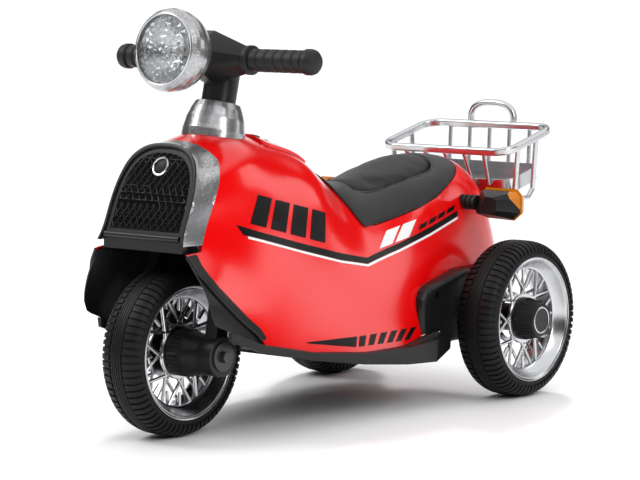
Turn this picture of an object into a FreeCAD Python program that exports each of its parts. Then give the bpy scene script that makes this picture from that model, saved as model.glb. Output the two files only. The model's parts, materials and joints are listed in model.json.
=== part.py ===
import FreeCAD, Part
import math
import os

os.makedirs("parts", exist_ok=True)
V = FreeCAD.Vector

# Frame: +X is the rider's left, -Y is ahead, +Z is up, the ground is z = 0.
# All lengths are in millimetres and all angles in degrees.

# Whole bike
OVERALL_LENGTH = 864.0
BASE_LENGTH = 580.0
AXLE_SETBACK = 20.0
REAR_TRACK = 344.0
TYRE_RADIUS = 114.0
TYRE_WIDTH = 66.0

# Clearances
GAP = 0.4
SEAM_GAP = 0.2
RUNNING_GAP = 0.05
PRESS_GAP = 0.02
CUT_REACH = 900.0
UPRIGHT_SHARE = 0.9

# Moulded body
BODY_TOP = 406.0
BODY_HALF_WIDTH = 136.0
WALL = 3.0
OVERRUN_SHARE = 0.15
EDGE_DROP = 8.0
TRIM_PROUD = 1.2
GRILLE_THICKNESS = 5.0
GRILLE_BORDER = 6.0
GRILLE_RECESS = 1.5
GRILLE_LIP_RADIUS = 4.0
BADGE_RADIUS = 14.0
BADGE_THICKNESS = 4.5
LINER_WALL = 2.2
APRON_DEPTH = 9.0
APRON_SETBACK = 3.0
APRON_HALF_WIDTH = 70.0
LINER_FRONT_SETBACK = 6.0
COLUMN_HOLE_RADIUS = 21.0

# Raised panel on top, its buttons and its switch
PANEL_HEIGHT = 4.5
PANEL_HALF_WIDTH = 37.0
PANEL_CORNER = 14.0
POWER_RADIUS = 9.0
MUSIC_RADIUS = 7.5
BUTTON_PROUD = 2.6
BUTTON_SUNK = 1.8
SWITCH_WIDTH = 16.0
SWITCH_LENGTH = 20.0
SWITCH_THICKNESS = 5.0
SWITCH_END_GAP = 0.8
SWITCH_PIN_RADIUS = 1.0
SWITCH_PIN_LENGTH = 2.5

# Seat
SADDLE_THICKNESS = 14.0
CUSHION_SINK = 9.0
CUSHION_HALF_WIDTH = 62.0
CUSHION_CROWN = 3.0
CUSHION_EDGE = 1.2
CUSHION_DRAW_IN = 2.5

# Steering
RAKE = 14.0
COLUMN_RADIUS = 12.0
COLUMN_BORE = 9.0
HEAD_RADIUS = 21.0
HEAD_BORE = 16.0
HEAD_FLANGE_RADIUS = 36.0
HEAD_FLANGE = 4.0
BUSH_LENGTH = 20.0
COLLAR_BORE = 25.5
COLLAR_BASE_RADIUS = 43.0
COLLAR_TOP_RADIUS = 31.0
SLEEVE_RADIUS = 23.5
SLEEVE_LENGTH = 46.0
CROWN_HALF_WIDTH = 62.0
CROWN_DEPTH = 36.0
CROWN_HEIGHT = 20.0
LEG_THICKNESS = 15.0
LEG_TOP_DEPTH = 28.0
LEG_FOOT_DEPTH = 22.0
LEG_FOOT_THICKNESS = 20.0
BOSS_RADIUS = 27.0
BOSS_INNER_X = 64.0
BOSS_OUTER_X = 88.0
BAR_RADIUS = 9.0
BAR_BORE = 7.5
BAR_HALF_LENGTH = 162.0
COVER_HALF_WIDTH = 57.0
COVER_END_RADIUS = 17.5
GRIP_END_X = 175.5
GRIP_RADIUS = 13.5
GRIP_RIB_RADIUS = 15.5
GRIP_FLANGE_RADIUS = 20.0
GRIP_FLANGE = 5.5
GRIP_CAP = 20.0
GRIP_RIBS = 6

# Headlight
LIGHT_TILT = 8.0
LIGHT_RADIUS = 56.0
LIGHT_DEPTH = 78.0
LENS_RADIUS = 45.5
LENS_THICKNESS = 3.0
LENS_SWELL = 5.0
LAMP_LENGTH = 16.0
REFLECTOR_WALL = 1.5

# Wheels
RIM_RADIUS = 90.5
RIM_HALF_WIDTH = 32.0
RIM_EDGE = 2.0
RIM_WALL = 2.6
DISH_RADIUS = 72.0
DISC_OFFSET = 8.0
DISC_THICKNESS = 6.0
HUB_RING_RADIUS = 34.0
HUB_CORE_RADIUS = 20.0
SPOKE_PAIRS = 8
SPOKE_WIDTH = 4.5
SPOKE_TWIST = 17.0
TYRE_WALL = 4.0
GROOVE_WIDTH = 2.2
GROOVE_DEPTH = 1.4
HUB_BASE_RADIUS = 31.0
FRONT_HUB_END_RADIUS = 26.0
FRONT_AXLE_RADIUS = 5.0
WASHER_RADIUS = 19.5
WASHER_THICKNESS = 2.0
NUT_RADIUS = 8.0
NUT_THICKNESS = 6.0
REAR_AXLE_RADIUS = 6.0
REAR_CAP_RADIUS = 24.0
REAR_CAP_REACH = 45.0
REAR_BORE_REACH = 28.0

# Drive
GEAR_MODULE = 1.0
GEAR_TEETH = 44
PINION_TEETH = 12
PRESSURE_ANGLE = 25.0
ADDENDUM_SHARE = 0.9
DEDENDUM_SHARE = 1.2
BACKLASH = 0.3
GEAR_WIDTH = 8.0
GEAR_INNER_X = 113.0
GEAR_SLEEVE_RADIUS = 10.5
GEAR_SLEEVE_SEAT = 7.0
MOTOR_ANGLE = 135.0
MOTOR_RADIUS = 18.0
MOTOR_LENGTH = 55.0
MOTOR_FACE_X = 91.0
MOTOR_NOSE_RADIUS = 14.0
MOTOR_SHAFT_RADIUS = 2.0

# Rear axle covers
COVER_X = 128.0
COVER_WALL = 3.0
COVER_ROOT_X = 86.0
COVER_ROUND = 8.0
COVER_PANEL_DEPTH = 1.4
COVER_SCREW_RADIUS = 5.0

# Underbody pan, pedal and electric pieces
PAN_FLOOR = 4.0
PAN_LAP = 2.0
PEDAL_LENGTH = 78.0
PEDAL_THICKNESS = 7.0
PEDAL_TILT = 14.0
PEDAL_INNER_X = 118.0
PEDAL_OUTER_X = 145.0
PEDAL_PIN_RADIUS = 3.0
PEDAL_PIN_LENGTH = 3.0
PEDAL_EAR = 3.4
PEDAL_EAR_RADIUS = 6.5
PEDAL_ROOM = 6.0
PEDAL_WELL_TOP = 140.0
PEDAL_BASE_Z = 94.0
PEDAL_PIN_LIFT = 7.5
BATTERY_WIDTH = 90.0
BATTERY_LENGTH = 70.0
BATTERY_HEIGHT = 95.0
BOARD_WIDTH = 76.0
BOARD_LENGTH = 52.0
BOARD_THICKNESS = 2.0
CHIP_HEIGHT = 14.0
SPEAKER_RADIUS = 26.0
SPEAKER_DEPTH = 18.0
SOCKET_BORE_RADIUS = 2.8
SOCKET_BORE_DEPTH = 10.0
SOCKET_STEM_RADIUS = 6.0
SOCKET_FLANGE_RADIUS = 9.0
SOCKET_FLANGE = 2.5
SOCKET_STEM = 14.0

# Turn indicators
INDICATOR_REACH = 190.0
INDICATOR_ROOT_X = 114.0
INDICATOR_HALF_HEIGHT = 23.0
INDICATOR_HALF_DEPTH = 18.0
STALK_RADIUS = 11.0
STALK_RIB = 2.0
STALK_RIBS = 3

# Rear basket
BASKET_HALF_WIDTH = 121.0
BASKET_TUBE_WIDTH = 9.0
BASKET_TUBE_HEIGHT = 12.0
BASKET_TUBE_ROUND = 3.6
BASKET_CORNER = 30.0
TRAY_HALF_WIDTH = 97.0
TRAY_LENGTH = 84.0
TRAY_WALL = 2.5
TRAY_HEIGHT = 20.0
TRAY_CORNER = 22.0
BAR_ROD_RADIUS = 3.3
LOOP_ROD_RADIUS = 4.0
HOOP_HALF_WIDTH = 45.0
HOOP_BAND = 8.0
HOOP_DEPTH = 17.0
HOOP_RISE = 38.0
BRACKET_HALF_WIDTH = 28.0
TAB_HALF_WIDTH = 11.0
TAB_THICKNESS = 5.0
BRACKET_NECK = 26.0
BRACKET_TIP = 8.0
BRACKET_DROP = 30.0
BRACKET_REACH_SHARE = 0.7
LOOP_DROP = 70.0

# Body cross-sections, nose to tail: the section plane's place at BODY_TOP and at the ground, as shares
# of BASE_LENGTH behind the base line, then half outline points from the crown to the lower edge, as
# shares of BODY_HALF_WIDTH and BODY_TOP. The base line lies ahead of the front axle by AXLE_SETBACK.
BODY_SECTION_SHARES = [
    (0.030, -0.271, [
        (0.000, 0.964), (0.235, 0.954), (0.400, 0.917), (0.478, 0.862), (0.515, 0.750),
        (0.535, 0.660), (0.662, 0.584), (0.787, 0.512), (0.838, 0.394),
    ]),
    (0.098, -0.124, [
        (0.000, 0.988), (0.275, 0.970), (0.470, 0.924), (0.560, 0.862), (0.592, 0.745),
        (0.625, 0.645), (0.713, 0.571), (0.809, 0.502), (0.868, 0.394),
    ]),
    (0.192, 0.052, [
        (0.000, 1.000), (0.294, 0.975), (0.485, 0.926), (0.588, 0.842), (0.632, 0.727),
        (0.676, 0.640), (0.743, 0.554), (0.824, 0.456), (0.919, 0.320),
    ]),
    (0.329, 0.259, [
        (0.000, 0.952), (0.294, 0.926), (0.485, 0.872), (0.588, 0.791), (0.640, 0.697),
        (0.684, 0.616), (0.757, 0.517), (0.853, 0.401), (0.963, 0.266),
    ]),
    (0.466, 0.443, [
        (0.000, 0.868), (0.275, 0.846), (0.435, 0.803), (0.550, 0.740), (0.625, 0.665),
        (0.684, 0.596), (0.765, 0.493), (0.875, 0.369), (1.000, 0.239),
    ]),
    (0.603, 0.603, [
        (0.000, 0.780), (0.200, 0.766), (0.365, 0.732), (0.495, 0.684), (0.590, 0.630),
        (0.672, 0.570), (0.765, 0.485), (0.868, 0.369), (0.993, 0.234),
    ]),
    (0.741, 0.741, [
        (0.000, 0.788), (0.331, 0.777), (0.485, 0.753), (0.588, 0.717), (0.647, 0.668),
        (0.691, 0.596), (0.750, 0.500), (0.824, 0.387), (0.897, 0.259),
    ]),
    (0.879, 0.879, [
        (0.000, 0.833), (0.331, 0.818), (0.485, 0.793), (0.588, 0.754), (0.647, 0.702),
        (0.684, 0.628), (0.721, 0.525), (0.750, 0.406), (0.765, 0.283),
    ]),
    (1.000, 1.000, [
        (0.000, 0.850), (0.309, 0.835), (0.456, 0.808), (0.559, 0.768), (0.632, 0.714),
        (0.669, 0.640), (0.691, 0.534), (0.706, 0.419), (0.706, 0.296),
    ]),
    (1.086, 1.086, [
        (0.000, 0.800), (0.235, 0.791), (0.368, 0.768), (0.471, 0.739), (0.551, 0.695),
        (0.603, 0.628), (0.640, 0.534), (0.654, 0.431), (0.647, 0.333),
    ]),
    (1.102, 1.184, [
        (0.000, 0.739), (0.147, 0.732), (0.309, 0.707), (0.426, 0.665), (0.493, 0.608),
        (0.537, 0.542), (0.559, 0.480), (0.566, 0.419), (0.551, 0.369),
    ]),
    (1.130, 1.207, [
        (0.000, 0.697), (0.103, 0.692), (0.221, 0.672), (0.309, 0.638), (0.368, 0.591),
        (0.404, 0.539), (0.426, 0.490), (0.434, 0.443), (0.426, 0.401),
    ]),
]

# Side-view lines, as shares of BASE_LENGTH behind the base line and of BODY_TOP.
TRIM_BACK_SHARES = [
    (-0.026, 0.635), (0.048, 0.850), (0.066, 0.916), (0.060, 0.956), (0.052, 0.990),
    (0.041, 1.047),
]
FLARE_EDGE_SHARES = [
    (-0.030, 0.630), (-0.071, 0.626), (-0.062, 0.576), (-0.050, 0.544), (-0.028, 0.500),
    (0.007, 0.452), (0.048, 0.399), (0.090, 0.355), (0.108, 0.318),
]
LINER_EDGE_SHARES = [
    (-0.070, 0.615), (-0.068, 0.576), (-0.064, 0.544), (-0.059, 0.500), (-0.057, 0.463),
    (-0.055, 0.436), (-0.045, 0.402), (-0.010, 0.376), (0.040, 0.345), (0.108, 0.318),
]
SEAT_OUTLINE_SHARES = [
    (0.640, 0.900), (0.600, 0.668), (0.6015, 0.652), (0.609, 0.643), (0.622, 0.641), (0.644, 0.645),
    (0.702, 0.661), (0.778, 0.685), (0.857, 0.715), (0.909, 0.742), (0.9465, 0.765), (0.978, 0.786),
    (1.0034, 0.806), (1.024, 0.829), (1.036, 0.856), (1.040, 0.900),
]
TAIL_LINE_SHARES = [
    (0.949, 0.900), (1.207, 0.246),
]
WELL_BACK_SHARE = 0.300
WELL_ROOF_SHARE = 0.712
GRILLE_FOOT_SHARE = 0.662
APRON_FOOT_SHARE = 0.626
BADGE_HEIGHT_SHARE = 0.892
SPEAKER_HEIGHT_SHARE = 0.808
AXLE_COVER_SHARES = [
    (0.733, 0.209), (0.709, 0.230), (0.702, 0.262), (0.702, 0.345), (0.708, 0.378), (0.722, 0.403),
    (0.745, 0.420), (0.897, 0.460), (1.031, 0.457), (1.060, 0.437), (1.069, 0.405), (1.069, 0.241),
    (1.045, 0.209),
]
COVER_SCREW_SHARES = (0.768, 0.386)

# Pan: place behind the base line and height as above, inner and outer half-width as shares of
# BODY_HALF_WIDTH.
PAN_SHARES = [
    (0.003, 0.838, 0.890, 0.377, 0.340),
    (0.097, 0.890, 0.949, 0.323, 0.292),
    (0.278, 0.926, 1.000, 0.268, 0.237),
    (0.448, 0.956, 1.051, 0.241, 0.197),
    (0.603, 0.949, 1.096, 0.236, 0.172),
    (0.716, 0.882, 1.110, 0.246, 0.163),
    (0.784, 0.838, 1.074, 0.254, 0.197),
]
PAN_FLOOR_FIRST = 2

# Places along the bike, as shares of BASE_LENGTH behind the base line
PANEL_FRONT_SHARE = 0.287
PANEL_BACK_SHARE = 0.458
POWER_PLACE_SHARE = 0.325
SWITCH_PLACE_SHARE = 0.373
MUSIC_PLACE_SHARE = 0.420
BATTERY_PLACE_SHARE = 0.526
PEDAL_PLACE_SHARE = 0.566
SOCKET_PLACE_SHARES = (0.664, 0.438)
INDICATOR_PLACE_SHARES = (0.969, 0.690)

# Steering axis and what rides on it, as shares of BASE_LENGTH and BODY_TOP
STEER_POINT_SHARES = (0.202, 1.113)
BAR_PLACE_SHARES = (0.193, 1.235)
LIGHT_PLACE_SHARES = (0.005, 1.276)
CROWN_HEIGHT_SHARE = 0.616
LEG_FOOT_SHARE = 0.85
COLUMN_TOP_SHARE = 1.188
COLLAR_HEIGHT_SHARES = [0.930, 0.993, 1.034, 1.066, 1.086]
COLLAR_SWELL_SHARES = [1.05, 1.0, 0.74, 0.35, 0.0]
SLEEVE_FOOT_SHARE = 1.050
CUSHION_PLACE_SHARES = [0.634, 0.650, 0.700, 0.770, 0.840, 0.895, 0.930, 0.946]
CUSHION_WIDTH_SHARES = [0.48, 0.62, 0.82, 0.95, 1.0, 0.93, 0.74, 0.50]
CUSHION_CROWN_SHARES = [0.25, 0.7, 1.0, 1.0, 1.0, 1.0, 0.7, 0.25]
BASKET_FRONT_SHARES = (1.083, 0.857)
BASKET_BACK_SHARES = (1.310, 0.938)
TRAY_FRONT_SHARES = (1.155, 0.749)

# Headlight outline: depth behind the rim as shares of LIGHT_DEPTH, radius as shares of LIGHT_RADIUS
LIGHT_OUTLINE_SHARES = [
    (0.000, 0.870), (0.013, 0.900), (0.075, 0.968), (0.150, 1.000), (0.250, 1.000), (0.370, 0.968),
    (0.500, 0.890), (0.630, 0.770), (0.760, 0.605), (0.880, 0.385), (0.960, 0.190), (1.000, 0.000),
]
LIGHT_INSIDE_SHARES = [
    (0.945, 0.000), (0.865, 0.270), (0.745, 0.480), (0.615, 0.650), (0.485, 0.790), (0.360, 0.880),
    (0.250, 0.930), (0.150, 0.920), (0.095, 0.870),
]
LENS_SEAT_SHARE = 0.064
LENS_SEAT_RADIUS_SHARE = 0.775
REFLECTOR_SHARES = [(0.105, 0.820), (0.250, 0.617), (0.385, 0.405), (0.475, 0.154)]
GRIP_CAP_SHARES = [(0.1, 1.0), (0.45, 1.0), (0.68, 0.92), (0.86, 0.74), (0.96, 0.5), (1.0, 0.2), (1.0, 0.0)]
COVER_SECTION_SHARES = [(-1.0, 0.0), (-0.15, 1.0), (0.15, 1.0), (1.0, 0.0)]
COVER_CORNER_SHARES = [(0.0, 1.0), (-1.0, 0.36), (-1.0, -0.36), (0.0, -1.0), (0.9, -0.5), (0.9, 0.5)]
COVER_MID_DEPTH = 40.0
COVER_MID_HEIGHT = 36.0
COVER_MID_AHEAD = 14.0
COVER_MID_RISE = 3.0
# Indicator outlines seen from behind, as shares of its reach from the root and of its half-height: the
# housing's front and back and the lens's front and back, each with its place as a share of the half-depth.
INDICATOR_FRONT_SHARES = (-1.0, [
    (0.00, -0.42), (0.00, 0.42), (0.10, 0.52), (0.50, 0.48), (0.60, 0.30), (0.60, -0.35), (0.48, -0.60),
    (0.10, -0.58),
])
INDICATOR_BACK_SHARES = (0.25, [
    (0.00, -0.52), (0.00, 0.52), (0.13, 0.86), (0.85, 0.84), (0.95, 0.50), (0.95, -0.50), (0.80, -0.94),
    (0.16, -0.90),
])
INDICATOR_LENS_FRONT_SHARES = (0.28, [
    (0.08, -0.54), (0.08, 0.62), (0.15, 1.00), (0.88, 1.00), (1.00, 0.56), (1.00, -0.52), (0.82, -1.00),
    (0.18, -0.94),
])
INDICATOR_LENS_BACK_SHARES = (1.0, [
    (0.16, -0.42), (0.16, 0.48), (0.22, 0.80), (0.82, 0.80), (0.92, 0.44), (0.92, -0.40), (0.76, -0.80),
    (0.24, -0.76),
])
TYRE_OUTLINE_SHARES = [
    (0.987, 0.797), (1.0, 0.842), (0.990, 0.886), (0.932, 0.930), (0.838, 0.961), (0.649, 0.986),
    (0.324, 0.997),
]
BAR_SPREAD_SHARES = [-0.61, -0.305, 0.0, 0.305, 0.61]
LOOP_PLACE_SHARES = [0.26, 0.62]

BASE_Y = TYRE_RADIUS - AXLE_SETBACK - OVERALL_LENGTH / 2
FRONT_AXLE_Y = BASE_Y + AXLE_SETBACK
REAR_AXLE_Y = BASE_Y + BASE_LENGTH
AXLE_Z = TYRE_RADIUS
X_AXIS = V(1, 0, 0)
Y_AXIS = V(0, 1, 0)
Z_AXIS = V(0, 0, 1)
ORIGIN = V(0, 0, 0)


def place(shares):
    """Point on the middle plane from a pair of side-view shares."""
    return V(0, BASE_Y + BASE_LENGTH * shares[0], BODY_TOP * shares[1])


def side_points(table):
    return [place(pair) for pair in table]


def export(name, shape):
    shape.exportStep("parts/" + name + ".step")


def face_of(points):
    return Part.Face(Part.makePolygon(points + points[:1]))


def shrunk(points, inset):
    """Outline moved inward by inset, for a convex outline."""
    count = len(points)
    middle = V(0, sum(p.y for p in points) / count, sum(p.z for p in points) / count)
    lines = []
    for p, q in zip(points, points[1:] + points[:1]):
        run = (q - p).normalize()
        inward = V(0, -run.z, run.y)
        if inward.dot(middle - p) < 0:
            inward = -inward
        lines.append((p + inward * inset, run))
    result = []
    for (p, u), (q, w) in zip(lines[-1:] + lines[:-1], lines):
        cross = u.y * w.z - u.z * w.y
        along = ((q.y - p.y) * w.z - (q.z - p.z) * w.y) / cross
        result.append(p + u * along)
    return result


def prism(points, x_low, x_high):
    """Side-view outline drawn out along X."""
    return face_of([V(x_low, p.y, p.z) for p in points]).extrude(V(x_high - x_low, 0, 0))


def wide_prism(points):
    return prism(points, -CUT_REACH, CUT_REACH)


def box(x, y, z):
    """Box from three (low, high) pairs."""
    return Part.makeBox(x[1] - x[0], y[1] - y[0], z[1] - z[0], V(x[0], y[0], z[0]))


def rod(start, end, radius):
    return Part.makeCylinder(radius, (end - start).Length, start, end - start)


def cross_rod(radius, x_low, x_high, y, z):
    """Rod that runs along X."""
    return Part.makeCylinder(radius, x_high - x_low, V(x_low, y, z), X_AXIS)


def lathe(outline):
    """Solid turned about Z from (radius, height) pairs."""
    face = face_of([V(r, 0, h) for r, h in outline])
    return face.revolve(ORIGIN, Z_AXIS, 360)


def turned(shape, origin, axis):
    """Shape built along Z, moved so that Z runs along axis from origin."""
    moved = shape.copy()
    moved.Placement = FreeCAD.Placement(origin, FreeCAD.Rotation(Z_AXIS, axis))
    return moved


def pitched(shape, origin, angle):
    """Shape tipped about X by angle, then moved to origin."""
    moved = shape.copy()
    moved.Placement = FreeCAD.Placement(origin, FreeCAD.Rotation(X_AXIS, angle))
    return moved


def upright_edges(block):
    """Straight edges that run along Z."""
    return [e for e in block.Edges if abs(e.tangentAt(e.FirstParameter).z) > UPRIGHT_SHARE]


def mirrored(shape):
    return shape.mirror(ORIGIN, X_AXIS)


def fused(shapes):
    return shapes[0].multiFuse(shapes[1:]).removeSplitter()


def single(shape):
    """Largest solid of a result."""
    return max(shape.Solids, key=lambda s: s.Volume)


# Body surface


def blended(row, other, share):
    """Row carried past its own place, away from the other row."""
    top = row[0] + (row[0] - other[0]) * share
    ground = row[1] + (row[1] - other[1]) * share
    pairs = [(p[0] + (p[0] - q[0]) * share, p[1] + (p[1] - q[1]) * share) for p, q in zip(row[2], other[2])]
    return (top, ground, pairs)


def offset_outline(pairs, offset, drop):
    """Half outline moved outward by offset, with its lower end carried down by drop."""
    points = [V(BODY_HALF_WIDTH * w, 0, BODY_TOP * h) for w, h in pairs]
    result = []
    for i, point in enumerate(points):
        before = points[i - 1] if i else V(-points[1].x, 0, points[1].z)
        after = points[i + 1] if i + 1 < len(points) else point
        run = (after - before).normalize()
        result.append(point + V(-run.z, 0, run.x) * offset)
    end = (points[-1] - points[-2]).normalize()
    result[-1] = result[-1] + end * drop
    return result


def section_wire(row, offset, drop, shift):
    half = offset_outline(row[2], offset, drop)
    points = [V(-p.x, 0, p.z) for p in half[:0:-1]] + half
    lean = BASE_LENGTH * (row[0] - row[1]) / BODY_TOP
    start = BASE_Y + BASE_LENGTH * row[1] + shift
    points = [V(p.x, start + lean * p.z, p.z) for p in points]
    curve = Part.BSplineCurve()
    curve.interpolate(points)
    return Part.Wire([curve.toShape(), Part.makeLine(points[-1], points[0])])


def body_solid(offset, drop=0, overrun=False, rear_shift=0):
    rows = list(BODY_SECTION_SHARES)
    if overrun:
        rows[0] = blended(rows[0], rows[1], OVERRUN_SHARE)
    wires = [section_wire(row, offset, drop, 0) for row in rows[:-1]]
    wires.append(section_wire(rows[-1], offset, drop, rear_shift))
    return Part.makeLoft(wires, True, False)


def nose_y(height):
    """Place of the nose plane at a height."""
    row = BODY_SECTION_SHARES[0]
    lean = BASE_LENGTH * (row[0] - row[1]) / BODY_TOP
    return BASE_Y + BASE_LENGTH * row[1] + lean * height


def nose_slab(low, high, front, back):
    """Side-view strip parallel to the nose plane."""
    return [
        V(0, nose_y(low) + front, low),
        V(0, nose_y(low) + back, low),
        V(0, nose_y(high) + back, high),
        V(0, nose_y(high) + front, high),
    ]


NOSE_LEAN = math.degrees(math.atan2(nose_y(BODY_TOP) - nose_y(0), BODY_TOP))
OUTER = body_solid(0)
OUTER_GROWN = body_solid(GAP, GAP, False, GAP)
INNER = body_solid(-WALL, EDGE_DROP, True, -WALL)
SKIN = body_solid(-WALL - GAP, 0, True, -WALL - GAP)


def top_at(solid, y, x=0):
    line = Part.makeLine(V(x, y, BODY_TOP / 2), V(x, y, BODY_TOP * 2))
    return solid.common(line).BoundBox.ZMax


def side_at(solid, y, z):
    line = Part.makeLine(V(0, y, z), V(CUT_REACH, y, z))
    return solid.common(line).BoundBox.XMax


def front_zone():
    """Side-view region of the trim, grille and open wheel arch."""
    line = side_points(TRIM_BACK_SHARES)[::-1] + side_points(FLARE_EDGE_SHARES)
    last = line[-1]
    first = line[0]
    far = -CUT_REACH
    return line + [V(0, last.y, 0), V(0, far, 0), V(0, far, first.z)]


def seat_zone(gap):
    """Side-view region of the saddle, moved inward by gap."""
    outline = side_points(SEAT_OUTLINE_SHARES)
    return shrunk(outline, gap) if gap else outline


def tail_zone(gap):
    """Side-view region behind the tail line, moved back by gap."""
    line = [p + V(0, gap, 0) for p in side_points(TAIL_LINE_SHARES)]
    return line + [V(0, CUT_REACH, line[1].z), V(0, CUT_REACH, line[0].z)]


# Steering axis

STEER_POINT = place(STEER_POINT_SHARES)
STEER_AXIS = V(0, math.sin(math.radians(RAKE)), math.cos(math.radians(RAKE)))


def steer_at(height):
    """Point of the steering axis at a height."""
    return STEER_POINT + STEER_AXIS * ((height - STEER_POINT.z) / STEER_AXIS.z)


def on_steer(shape, height):
    """Shape built along Z, set on the steering axis at a height."""
    return pitched(shape, steer_at(height), -RAKE)


def steer_rod(radius, low, high):
    return rod(steer_at(low), steer_at(high), radius)


# Drive line places

GEAR_RADIUS = GEAR_MODULE * GEAR_TEETH / 2
PINION_RADIUS = GEAR_MODULE * PINION_TEETH / 2
MOTOR_TURN = math.radians(MOTOR_ANGLE)
MOTOR_Y = REAR_AXLE_Y + (GEAR_RADIUS + PINION_RADIUS) * math.cos(MOTOR_TURN)
MOTOR_Z = AXLE_Z + (GEAR_RADIUS + PINION_RADIUS) * math.sin(MOTOR_TURN)
REAR_WHEEL_X = REAR_TRACK / 2

# Pedal places, on the right side
PEDAL_FRONT_Y = BASE_Y + BASE_LENGTH * PEDAL_PLACE_SHARE
PEDAL_BACK_Y = PEDAL_FRONT_Y + PEDAL_LENGTH
PEDAL_PIN_Y = PEDAL_BACK_Y - PEDAL_PIN_RADIUS * 2
PEDAL_PIN_Z = PEDAL_BASE_Z + PEDAL_PIN_LIFT
PEDAL_WELL = (
    (-CUT_REACH, -(PEDAL_INNER_X - PEDAL_ROOM)),
    (PEDAL_FRONT_Y - PEDAL_ROOM, PEDAL_BACK_Y + PEDAL_ROOM),
    (0, PEDAL_WELL_TOP),
)


def body_shells():
    shell = OUTER.cut(INNER)
    shell = shell.cut(wide_prism(front_zone()))
    shell = shell.cut(wide_prism(seat_zone(0)))
    shell = shell.cut(wide_prism(tail_zone(0)))
    shell = shell.cut(steer_rod(COLUMN_HOLE_RADIUS, BODY_TOP / 2, BODY_TOP * 2))
    axle = cross_rod(REAR_AXLE_RADIUS + PRESS_GAP, -REAR_WHEEL_X, REAR_WHEEL_X, REAR_AXLE_Y, AXLE_Z)
    shell = shell.cut(axle)
    half = SEAM_GAP / 2
    span = (-CUT_REACH, CUT_REACH)
    left = single(shell.common(box((half, CUT_REACH), span, span)))
    right = shell.common(box((-CUT_REACH, -half), span, span))
    shaft = Part.makeCylinder(PINION_RADIUS, CUT_REACH, V(0, MOTOR_Y, MOTOR_Z), -X_AXIS)
    right = right.cut(shaft)
    right = right.cut(box(*PEDAL_WELL))
    hole = place(SOCKET_PLACE_SHARES)
    right = single(right.cut(Part.makeCylinder(SOCKET_STEM_RADIUS + PRESS_GAP, CUT_REACH, hole, -X_AXIS)))
    tail = OUTER.cut(INNER).common(wide_prism(tail_zone(GAP)))
    tail = single(tail.cut(wide_prism(seat_zone(0))))
    return left, right, tail


def grille_trim():
    line = side_points(TRIM_BACK_SHARES)
    zone = [p + V(0, -GAP, 0) for p in line]
    zone += [V(0, -CUT_REACH, line[-1].z), V(0, -CUT_REACH, line[0].z)]
    ring = body_solid(TRIM_PROUD).cut(INNER)
    return single(ring.common(wide_prism(zone)))


def front_grille():
    foot = BODY_TOP * GRILLE_FOOT_SHARE
    plate = SKIN.common(wide_prism(nose_slab(foot, BODY_TOP, 0, GRILLE_THICKNESS)))
    field = body_solid(-WALL - GAP - GRILLE_BORDER, 0, True)
    low = foot + GRILLE_BORDER * 2
    plate = plate.cut(field.common(wide_prism(nose_slab(low, BODY_TOP, -CUT_REACH, GRILLE_RECESS))))
    half = side_at(SKIN, nose_y(foot) + GRILLE_RECESS, foot) - GRILLE_LIP_RADIUS
    lip_z = foot + GRILLE_LIP_RADIUS
    lip = Part.makeCylinder(GRILLE_LIP_RADIUS, half * 2, V(-half, nose_y(lip_z), lip_z), X_AXIS)
    return single(plate.fuse(lip))


def nose_disc(radius, height, front, depth):
    """Disc on the nose plane, from front to front + depth behind it."""
    disc = Part.makeCylinder(radius, depth, V(0, 0, front))
    return pitched(disc, V(0, nose_y(height), height), -90 - NOSE_LEAN)


def front_badge():
    floor = GRILLE_RECESS * math.cos(math.radians(NOSE_LEAN)) - SEAM_GAP
    return nose_disc(BADGE_RADIUS, BODY_TOP * BADGE_HEIGHT_SHARE, floor - BADGE_THICKNESS, BADGE_THICKNESS)


def wheel_well_liner():
    roof = BODY_TOP * WELL_ROOF_SHARE
    back = BASE_Y + BASE_LENGTH * WELL_BACK_SHARE
    edge = [p + V(0, SEAM_GAP, 0) for p in side_points(LINER_EDGE_SHARES)]
    start = place(TRIM_BACK_SHARES[0])
    side = [V(0, nose_y(roof) + APRON_DEPTH, roof), V(0, start.y, start.z)] + edge
    side += [V(0, edge[-1].y, 0), V(0, back, 0), V(0, back, roof)]
    hollow = body_solid(-WALL - GAP - LINER_WALL, EDGE_DROP, True)
    skin = SKIN.cut(hollow).common(wide_prism(side))
    lid_front = nose_y(roof) + LINER_FRONT_SETBACK
    lid = [V(0, lid_front, roof - LINER_WALL), V(0, back, roof - LINER_WALL)]
    lid += [V(0, back, roof), V(0, lid_front, roof)]
    wall = [V(0, back - LINER_WALL, 0), V(0, back, 0), V(0, back, roof), V(0, back - LINER_WALL, roof)]
    foot = BODY_TOP * APRON_FOOT_SHARE
    apron_top = BODY_TOP * GRILLE_FOOT_SHARE - GAP
    front = nose_slab(apron_top - LINER_WALL, roof, LINER_FRONT_SETBACK, APRON_DEPTH)
    pieces = [skin]
    pieces += [SKIN.common(wide_prism(part)) for part in (lid, wall, front)]
    ahead = nose_y(apron_top) + APRON_SETBACK
    half = APRON_HALF_WIDTH
    apron = box((-half, half), (ahead, ahead + APRON_DEPTH), (foot, apron_top))
    pieces.append(SKIN.common(apron))
    liner = fused(pieces).common(OUTER)
    return single(liner.cut(steer_rod(COLUMN_HOLE_RADIUS, BODY_TOP / 2, BODY_TOP)))


def steering_head():
    base = BODY_TOP * WELL_ROOF_SHARE + SEAM_GAP
    post = steer_rod(HEAD_RADIUS, BODY_TOP / 2, BODY_TOP * 2)
    foot = steer_at(base)
    flange = Part.makeCylinder(HEAD_FLANGE_RADIUS, HEAD_FLANGE, foot)
    span = (-CUT_REACH, CUT_REACH)
    head = post.fuse(flange).common(box(span, span, (base, BODY_TOP)))
    head = head.common(SKIN)
    return single(head.cut(steer_rod(HEAD_BORE, BODY_TOP / 2, BODY_TOP * 2)))


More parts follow.
